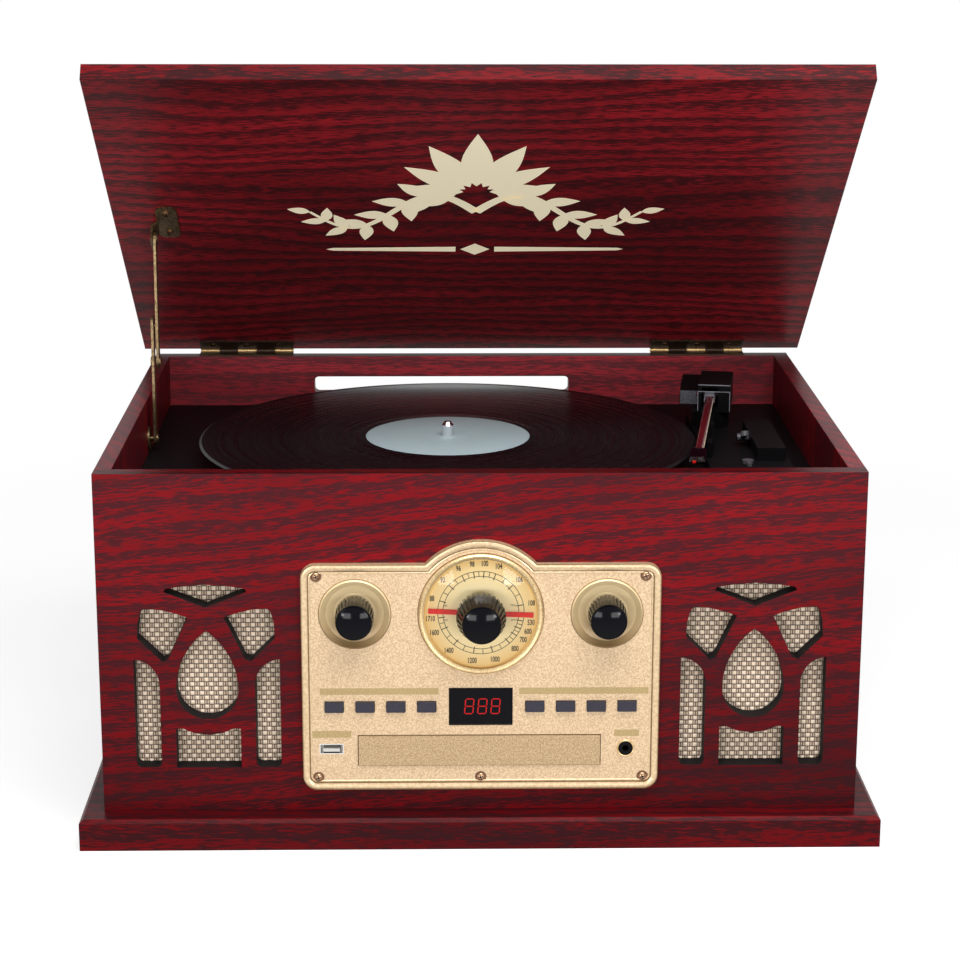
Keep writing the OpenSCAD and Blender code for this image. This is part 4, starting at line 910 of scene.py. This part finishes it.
# Half width, half height and depth of each loop of the frame round the window
DISPLAY_RIM = ((17.7, 10.9, -2.9), (17.7, 10.9, -3.3), (17.2, 10.4, -3.35), (16.7, 9.9, -3.0),
               (16.7, 9.9, -2.7))
shape = bmesh.new()
loft(shape, [[on_front(x, DISPLAY_Z + z, y) for x, z in ((-w, -h), (w, -h), (w, h), (-w, h))]
             for w, h, y in DISPLAY_RIM])
make("display_rim", shape, black_plastic)
print(len(DIGIT_X), "digits at", DISPLAY_Z, "mm above the floor")

# %% [markdown]
# Strips of a darker gold run over the buttons and the sockets. Each is a thin plate sunk a little into the
# fascia, so that only its front face and a hair of its edge stand out.

# %% Label strips
# Left, right, foot and top of each strip
STRIPS = ((-89.2, -23.4, 87.2, 91.0), (21.2, 93.0, 87.2, 91.0), (-94.2, -72.0, 62.0, 66.0),
          (74.4, 88.2, 62.2, 66.0))
STRIP_T, STRIP_SUNK = 0.04, 0.1
shape = bmesh.new()
for strip in STRIPS:
    box_on_front(shape, *strip, FACE_Y + STRIP_SUNK, FACE_Y - STRIP_T)
strip_gold = grained("strip_gold", (0.36, 0.25, 0.10), (0.54, 0.40, 0.20), 0.45, 0.5, 0.04, metallic=0.2,
                     specular_ior_level=0.3)
make("label_strips", shape, strip_gold)
print("strips:", len(STRIPS))

# %% [markdown]
# Five brass screws hold the fascia, each with a domed head, a cross slot and a shallow dimple round it. The
# CAD screws are plain discs, so a turned head takes their place. The cross is not cut into the head: a dark
# cross a hair above the dome, painted shade for the slot's depth, looks the same at this size and keeps the
# mesh simple. The dimple takes a darker gold, painted shade in its hollow.

# %% Screws of the fascia
SCREW_X, SCREW_FOOT, SCREW_TOP = 90.5, 38.5, 155.8
SCREWS = [(side * SCREW_X, z) for side in (-1, 1) for z in (SCREW_FOOT, SCREW_TOP)] + [(0, 38.6)]
# Radius and depth, from the fascia's face, of a head and of the dimple round it
HEAD = ((0.05, -1.55), (0.8, -1.5), (1.5, -1.3), (2.1, -0.85), (2.4, -0.3), (2.45, 0.1))
WELL = ((2.3, 0.02), (2.6, -0.05), (3.1, -0.12), (3.25, -0.05), (3.3, 0.1))
SLOT_HALF_L, SLOT_HALF_W, SLOT_TURN = 1.45, 0.3, 0.35
SLOT_FOOT, SLOT_TOP = 1.3, 1.62

heads, wells, slots = bmesh.new(), bmesh.new(), bmesh.new()
for x, z in SCREWS:
    turned(heads, x, z, [(r, FACE_Y + y) for r, y in HEAD], 24)
    turned(wells, x, z, [(r, FACE_Y + y) for r, y in WELL], 32, caps=False)
    for turn in (SLOT_TURN, SLOT_TURN + QUARTER):
        along, side = directions(turn)
        corners = [a * SLOT_HALF_L * along + b * SLOT_HALF_W * side
                   for a, b in ((-1, -1), (1, -1), (1, 1), (-1, 1))]
        prism(slots, [(x + p.x, z + p.y) for p in corners], FACE_Y - SLOT_FOOT, FACE_Y - SLOT_TOP)
# Painted shade: dark in the cross slots and a darker gold in the dimples round the heads
slot_painted_shade = Finish("slot_painted_shade", (0.03, 0.015, 0.01), 0.6)
dimple_painted_shade = Finish("dimple_painted_shade", (0.16, 0.085, 0.05), 0.5, 0.4)
screw_heads = make("fascia_screw_heads", heads, screw_brass)
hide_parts("fascia_screws")
make("fascia_screw_wells", wells, dimple_painted_shade.material)
make("fascia_screw_slots", slots, slot_painted_shade.material)
print("screws:", len(SCREWS))

# %% [markdown]
# Grille cloth is a coarse basket weave: fat cream threads show as bright pillows in every other cell, and
# thin brown threads run between them in the rest. Only real relief gives the pillows their shaded edges at
# this size, so the depth of the cloth at a place is a formula.

# %% Relief of the weave
CELL = 2.66
CELL_STEPS = 5
# Heights of a fat pillow, and of the flat cell between pillows with its thin threads
PILLOW, FLAT_CELL, THREAD = 0.95, 0.15, 0.25


def pillow(x, z):
    """Height of the weave at a place on the cloth, in mm."""
    column, row = x / CELL, z / CELL
    u, v = 2 * (column % 1) - 1, 2 * (row % 1) - 1
    swell = (1 - abs(u) ** 3) * (1 - abs(v) ** 3)
    if (math.floor(column) + math.floor(row)) % 2:
        return FLAT_CELL + THREAD * abs(math.sin(1.5 * math.pi * (u + 1)))
    return PILLOW * swell


print("pillow height", pillow(CELL / 2, CELL / 2), "mm, flat cell", pillow(3 * CELL / 2, CELL / 2), "mm")

# %% [markdown]
# The colour follows the same cells as the relief, because it divides the place by the same cell size. The
# cream pillows darken towards their edges, where the threads dive under their neighbours; that darkening is
# painted shade, and so are the dark gaps between the brown threads. Fine noise stands for the fuzz of the
# yarn.

# %% Colours of the weave
# The colour of the deep gaps is painted shade between the threads
CREAM_THREAD, BROWN_THREAD, GAP_PAINTED_SHADE = (0.98, 0.80, 0.62), (0.70, 0.52, 0.38), (0.05, 0.025, 0.018)


def weave_finish():
    """Cream and brown cells in the same checks as the relief, with painted shade in the gaps between the
    threads.
    """
    finish = Finish("grille_weave", (0.7, 0.6, 0.45), 0.85, sheen_weight=0.2)
    x, _, z = finish.split(finish.place())
    column = finish.sum("MULTIPLY", x, 1 / (CELL * MM))
    row = finish.sum("MULTIPLY", z, 1 / (CELL * MM))
    cell = finish.sum("ADD", finish.sum("FLOOR", column), finish.sum("FLOOR", row))
    odd = finish.sum("FLOORED_MODULO", cell, 2.0)
    u = finish.sum("ABSOLUTE", finish.sum("MULTIPLY_ADD", finish.sum("FRACT", column), 2.0, -1.0))
    v = finish.sum("ABSOLUTE", finish.sum("MULTIPLY_ADD", finish.sum("FRACT", row), 2.0, -1.0))
    edge = finish.sum("MAXIMUM", u, v)
    # Painted shade: the cream darkens towards the edge of each pillow
    cream = finish.blend(finish.ramp(edge, (0.70, 0.0), (0.98, 1.0)), CREAM_THREAD, GAP_PAINTED_SHADE)
    thread = finish.sum("ABSOLUTE", finish.sum("SINE", finish.sum("MULTIPLY", column, 2 * math.pi)))
    # Painted shade in the gaps between the brown threads and along the top and foot of each cell
    brown = finish.blend(finish.ramp(thread, (0.3, 0.0), (0.8, 1.0)), (0.025, 0.012, 0.008), BROWN_THREAD)
    brown = finish.blend(finish.ramp(v, (0.62, 0.0), (0.92, 1.0)), brown, (0.02, 0.010, 0.008))
    finish.set("Base Color", finish.blend(odd, cream, brown))
    fuzz = finish.noise(finish.place(), (2500, 2500, 2500), detail=2)
    finish.bump(fuzz, 0.08, 0.4)
    return finish.material


print("cream", CREAM_THREAD, "and brown", BROWN_THREAD)

# %% [markdown]
# Each cloth is stretched flat behind its opening and glued to the back of the front board, so it is wider
# than the fretwork.

# %% Grille cloths
GRILLE_X = 151.5
CLOTH_LOW, CLOTH_HIGH = 40.6, 153.4
CLOTH_HALF = 43.8
CLOTH_FRONT = 10.5
# The weave lies this far behind the front of its sheet
WEAVE_SUNK = 0.6


def weave(name, middle_x):
    """One cloth, stretched behind an opening whose middle is at middle_x."""
    shape = bmesh.new()
    step = CELL / CELL_STEPS
    columns = round(2 * CLOTH_HALF / step)
    rows = round((CLOTH_HIGH - CLOTH_LOW) / step)
    grid = []
    for j in range(rows + 1):
        z = CLOTH_LOW + j * step
        line = []
        for i in range(columns + 1):
            x = middle_x - CLOTH_HALF + i * step
            line.append(shape.verts.new(on_front(x, z, CLOTH_FRONT + WEAVE_SUNK - pillow(x, z))))
        grid.append(line)
    for low, high in zip(grid, grid[1:]):
        for i in range(columns):
            shape.faces.new((low[i], low[i + 1], high[i + 1], high[i]))
    cloth = make(name, shape, weave_finish(), smooth_degrees=60)
    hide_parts("grille_cloths")
    return cloth


for side, name in ((-1, "left_grille_weave"), (1, "right_grille_weave")):
    weave(name, side * GRILLE_X)
print("weave cells of", CELL, "mm")

# %% [markdown]
# The two sockets need a bright touch each. A headphone socket is held by a ring nut, so its dark hole sits
# in a gold ring, which is one turned profile. A USB socket is a bent nickel shell round a pale plastic
# tongue.

# %% Sockets on the fascia
PHONES_X, PHONES_Z = 80.8, 55.3
# Radius and depth of the ring nut
RING_NUT = ((4.15, -2.9), (4.9, -3.0), (4.9, -3.5), (4.5, -4.0), (4.15, -3.9), (4.15, -2.9))
# Left, right, foot, top, front and back of the tongue
TONGUE = (-87.6, -78.4, 53.6, 55.4, -2.6, 8.0)
shape = bmesh.new()
turned(shape, PHONES_X, PHONES_Z, RING_NUT, 48, caps=False)
make("headphone_ring", shape, gold)
shape = bmesh.new()
box_on_front(shape, *TONGUE)
tongue_white = Finish("tongue_white", (0.62, 0.60, 0.56), 0.5)
make("usb_tongue", shape, tongue_white.material)
print("sockets dressed: headphones and USB")

# %% [markdown]
# The arm is moulded in black, and light catches its edges, the front of its counterweight and the plate at
# its tip, where the needle sits. The arm rests at an angle, so a helper gives places beside it in the arm's
# own directions: right of the pivot, behind it and above the floor. Blocks and strips are then drawn as if
# the arm lay straight.

# %% Beside the tonearm
pivot = Vector(joints["arm_swing"]["pos_m"])
REST_ANGLE = 9.1
arm_turn = Matrix.Rotation(-math.radians(REST_ANGLE), 4, "Z")
ARM_Z = Vector(joints["arm_lift"]["pos_m"]).z / MM
# The tube falls by this much a millimetre from the pivot to its tip
TUBE_FALL = 4.8 / 152


def at_arm(x, y, z):
    """A point beside the resting arm's pivot: right of it, behind it and above the floor, in mm."""
    aside = arm_turn @ Vector((x * MM, y * MM, 0))
    return Vector((pivot.x + aside.x, pivot.y + aside.y, z * MM))


def arm_box(shape, low, high):
    """A block beside the arm between two corners."""
    outline = [(low[0], low[1]), (high[0], low[1]), (high[0], high[1]), (low[0], high[1])]
    prism(shape, outline, low[2], high[2], at_arm)


def beside_tube(shape, right, up, near, far):
    """A strip along the arm's tube, from right[0] to right[1] of its axis and up[0] to up[1] above it."""
    ends = [[at_arm(x, -along, ARM_Z - TUBE_FALL * along + z)
             for x, z in ((right[0], up[0]), (right[1], up[0]), (right[1], up[1]), (right[0], up[1]))]
            for along in (near, far)]
    loft(shape, ends, caps=True)


print("arm pivot at", [round(v / MM, 1) for v in pivot])

# %% [markdown]
# The yoke turns with the arm but doesn't lift with it, so the painted highlights on its edges and the painted
# light on the front of its counterweight ride on the swinging body. They are blocks about half a millimetre
# thick on the black plastic: in a photograph such an edge is a line of light, and a line that has a shape of
# its own holds in any light.

# %% Painted highlights on the yoke and the counterweight
YOKE_TOP = ARM_Z + 7.8
YOKE_LEFT, YOKE_RIGHT, YOKE_FRONT = -7.55, 12.85, -11.1
EDGE_T = 0.4
# Painted highlights on the yoke's edges, and painted light on the counterweight's front
painted_edge_highlight = grained("painted_edge_highlight", (0.20, 0.20, 0.23), (0.34, 0.34, 0.38), 0.35, 0.5, 0.02)
painted_weight_light = grained("painted_weight_light", (0.07, 0.07, 0.085), (0.15, 0.15, 0.175), 0.4, 0.8, 0.03)

shape = bmesh.new()
arm_box(shape, (YOKE_LEFT, YOKE_FRONT, YOKE_TOP - 4.0), (YOKE_RIGHT, YOKE_FRONT + EDGE_T, YOKE_TOP - 3.55))
arm_box(shape, (YOKE_LEFT, -8.1, YOKE_TOP - 0.45), (YOKE_RIGHT, -7.7, YOKE_TOP + 0.05))
for x0, x1 in ((-7.6, -7.15), (12.4, YOKE_RIGHT)):
    arm_box(shape, (x0, YOKE_FRONT, YOKE_TOP - 16.4), (x1, YOKE_FRONT + EDGE_T, YOKE_TOP - 3.6))
make("yoke_painted_highlights", shape, painted_edge_highlight, "arm_swing")

shape = bmesh.new()
arm_box(shape, (-19.4, 3.9, YOKE_TOP - 15.4), (-8.2, 4.3, YOKE_TOP - 6.8))
make("counterweight_painted_light", shape, painted_weight_light, "arm_swing")
print("yoke top at", round(YOKE_TOP, 1), "mm")

# %% [markdown]
# The tube, its clamp and the plate on the headshell lift with the arm, so these ride on the lifting body.
# The strip on the tube is the long highlight of a thin polished rod, which a renderer loses when the rod is
# only a few pixels wide. A small red mark on the headshell shows where the needle is.

# %% Light, clamp and headshell of the tube
tube_light = grained("tube_light", (0.62, 0.48, 0.36), (0.80, 0.66, 0.52), 0.3, 3.0, 0.01)
clamp_grey = grained("clamp_grey", (0.16, 0.16, 0.19), (0.30, 0.30, 0.34), 0.4, 0.6, 0.02)
LIGHT_FROM, LIGHT_TO = 16, 130
CLAMP_FROM, CLAMP_TO = 4, 15
# Left and right, then foot and top, of the clamp's top plate and its two cheeks, from the tube's axis
CLAMP = (((-3.3, 3.3), (2.4, 2.9)), ((-3.3, -2.7), (-1.5, 2.9)), ((2.7, 3.3), (-1.5, 2.9)))
shell_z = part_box("headshell")[0].z / MM

shape = bmesh.new()
beside_tube(shape, (2.35, 2.75), (0.5, 1.6), LIGHT_FROM, LIGHT_TO)
make("tube_light", shape, tube_light, "arm_lift")

shape = bmesh.new()
for right, up in CLAMP:
    beside_tube(shape, right, up, CLAMP_FROM, CLAMP_TO)
make("tube_clamp", shape, clamp_grey, "arm_lift")

shape = bmesh.new()
arm_box(shape, (-4.5, -152.25, shell_z + 0.2), (4.5, -151.85, shell_z + 3.2))
make("headshell_plate", shape, nickel, "arm_lift")

shape = bmesh.new()
arm_box(shape, (-2.6, -152.4, shell_z - 0.6), (-0.8, -152.0, shell_z + 1.0))
make("headshell_mark", shape, red_gloss.material, "arm_lift")
print("light on the tube from", LIGHT_FROM, "to", LIGHT_TO, "mm from the pivot")

# %% [markdown]
# The record's label is pale blue-grey paper, pressed into the vinyl round the spindle's hole. It is a turned
# profile like the rings on the front, only drawn flat: the same helper takes another function for its
# places. It rides on the turntable, so that it turns with the record.

# %% Record label
label_top = record_high.z / MM + 0.04
LABEL_R, HOLE_R = 50.0, 3.75
# A fine ring is pressed into the paper at this radius
PRESSED_R, PRESSED_HALF, PRESSED_DEPTH = 15.0, 0.4, 0.03
PAPER_T = 0.1


def on_record(x, y, up):
    """A point on the record: across and back from its middle, and a height."""
    return Vector((record_middle.x + x * MM, record_middle.y + y * MM, up * MM))


label = ((HOLE_R, label_top - PAPER_T), (HOLE_R, label_top), (PRESSED_R - PRESSED_HALF, label_top),
         (PRESSED_R, label_top - PRESSED_DEPTH), (PRESSED_R + PRESSED_HALF, label_top),
         (LABEL_R - 0.2, label_top), (LABEL_R, label_top - PAPER_T))
shape = bmesh.new()
turned(shape, 0, 0, label, 96, place=on_record, caps=False)
label_paper = grained("label_paper", (0.33, 0.42, 0.45), (0.38, 0.47, 0.50), 0.55, 0.5, 0.01)
make("record_label", shape, label_paper, "turntable")
print("label at", round(label_top, 2), "mm")

# %% [markdown]
# The inner face of the lid carries a plain traditional ornament in cream paint: a fan of leaves over a pair
# of scrolling sprigs and a thin rule. Painters of furniture laid such ornaments on with a stencil. Each leaf
# here is the same lens-shaped outline, so the ornament is a list of places, angles and lengths, mirrored
# about the middle.

# %% Ornament under the lid
ornament_paint_and_glow = Finish("painted_glow_ornament", (0.98, 0.88, 0.66), 0.5, specular_ior_level=0.1)
# Painted glow: a weak emission brightens the cream paint, though it is no lamp
ornament_paint_and_glow.set("Emission Color", (1.0, 0.84, 0.52, 1.0))
ornament_paint_and_glow.set("Emission Strength", 0.2)
PAINT_T = 0.06
# Neighbouring leaves overlap, so their thickness differs by a step and their faces don't share a plane
LEAF_STEP, LEAF_STEPS, LEAF_POINTS = 0.004, 24, 20


def leaf(shape, x, y, angle, length, width, side=1):
    """A pointed leaf growing from a place at an angle in degrees, mirrored when side is -1."""
    ahead, across = directions(math.radians(angle))
    steps = [i / 10 for i in range(11)]
    swell = [width / 2 * math.sin(math.pi * t ** 0.8) for t in steps]
    edge = [t * length * ahead + s * across for t, s in zip(steps, swell)]
    back = [t * length * ahead - s * across for t, s in zip(steps[1:-1], swell[1:-1])]
    outline = [(side * (x + p.x), y + p.y) for p in edge + back[::-1]]
    depth = PAINT_T + LEAF_STEP * (len(shape.verts) // LEAF_POINTS % LEAF_STEPS)
    prism(shape, outline, 0.0, depth, on_lid)


def vine(shape, points, width, side):
    """A tapering stem along a smooth line of points."""
    left, right = [], []
    for i, (x, y) in enumerate(points):
        x0, y0 = points[max(i - 1, 0)]
        x1, y1 = points[min(i + 1, len(points) - 1)]
        run = Vector((x1 - x0, y1 - y0)).normalized()
        half = width / 2 * (1 - 0.7 * i / (len(points) - 1))
        left.append((side * (x - run.y * half), y + run.x * half))
        right.append((side * (x + run.y * half), y - run.x * half))
    for i in range(1, len(points)):
        prism(shape, [left[i - 1], left[i], right[i], right[i - 1]], 0.0, PAINT_T, on_lid)


print("leaf and vine are ready")

# %% [markdown]
# The fan has seven leaves, longest in the middle. Each sprig follows one wave of a sine, thins towards its
# tip and has pairs of leaves that get smaller, and a last leaf at its end. Under them a thin rule with
# tapered ends flanks a small diamond.

# %% Fan, sprigs and rule
ORNAMENT_MID = 204.0
FAN_R = 8
# Angle, length and width of each leaf of the fan
FAN = ((90, 58, 19), (62, 52, 17), (118, 52, 17), (35, 44, 15), (145, 44, 15), (10, 33, 12), (170, 33, 12))
SPRIG_L, SPRIG_DROP, SPRIG_WAVE, SPRIG_W = 100, 22, 19, 6.5
LEAF_PAIRS = (5, 9, 13, 17, 21, 25, 29)
PAIR_SPREAD = 50
RULE = ((12, 133), (88, 134.4), (92, 136), (88, 137.6), (12, 139))
DIAMOND = ((-9, 136), (0, 129), (9, 136), (0, 143))

shape = bmesh.new()
for angle, length, width in FAN:
    turn = math.radians(angle)
    leaf(shape, FAN_R * math.cos(turn), ORNAMENT_MID + FAN_R * math.sin(turn), angle, length, width)
shares = [i / 32 for i in range(33)]
sprig = [(SPRIG_L * t, ORNAMENT_MID - SPRIG_DROP + SPRIG_WAVE * math.sin(2 * math.pi * t)) for t in shares]
for side in (-1, 1):
    vine(shape, sprig, SPRIG_W, side)
    for i in LEAF_PAIRS:
        (x0, y0), (x1, y1) = sprig[i - 1], sprig[i + 1]
        slope = math.degrees(math.atan2(y1 - y0, x1 - x0))
        size = 27 - 0.4 * i
        for spread in (PAIR_SPREAD, -PAIR_SPREAD):
            leaf(shape, *sprig[i], slope + spread, size, size * 0.46, side)
    leaf(shape, *sprig[-1], 14, 14, 7, side)
    prism(shape, [(side * x, y) for x, y in RULE], 0.0, PAINT_T, on_lid)
prism(shape, DIAMOND, 0.0, PAINT_T, on_lid)
make("lid_ornament", shape, ornament_paint_and_glow.material, "lid")
print("ornament leaves:", len(FAN) + 2 * (2 * len(LEAF_PAIRS) + 1))
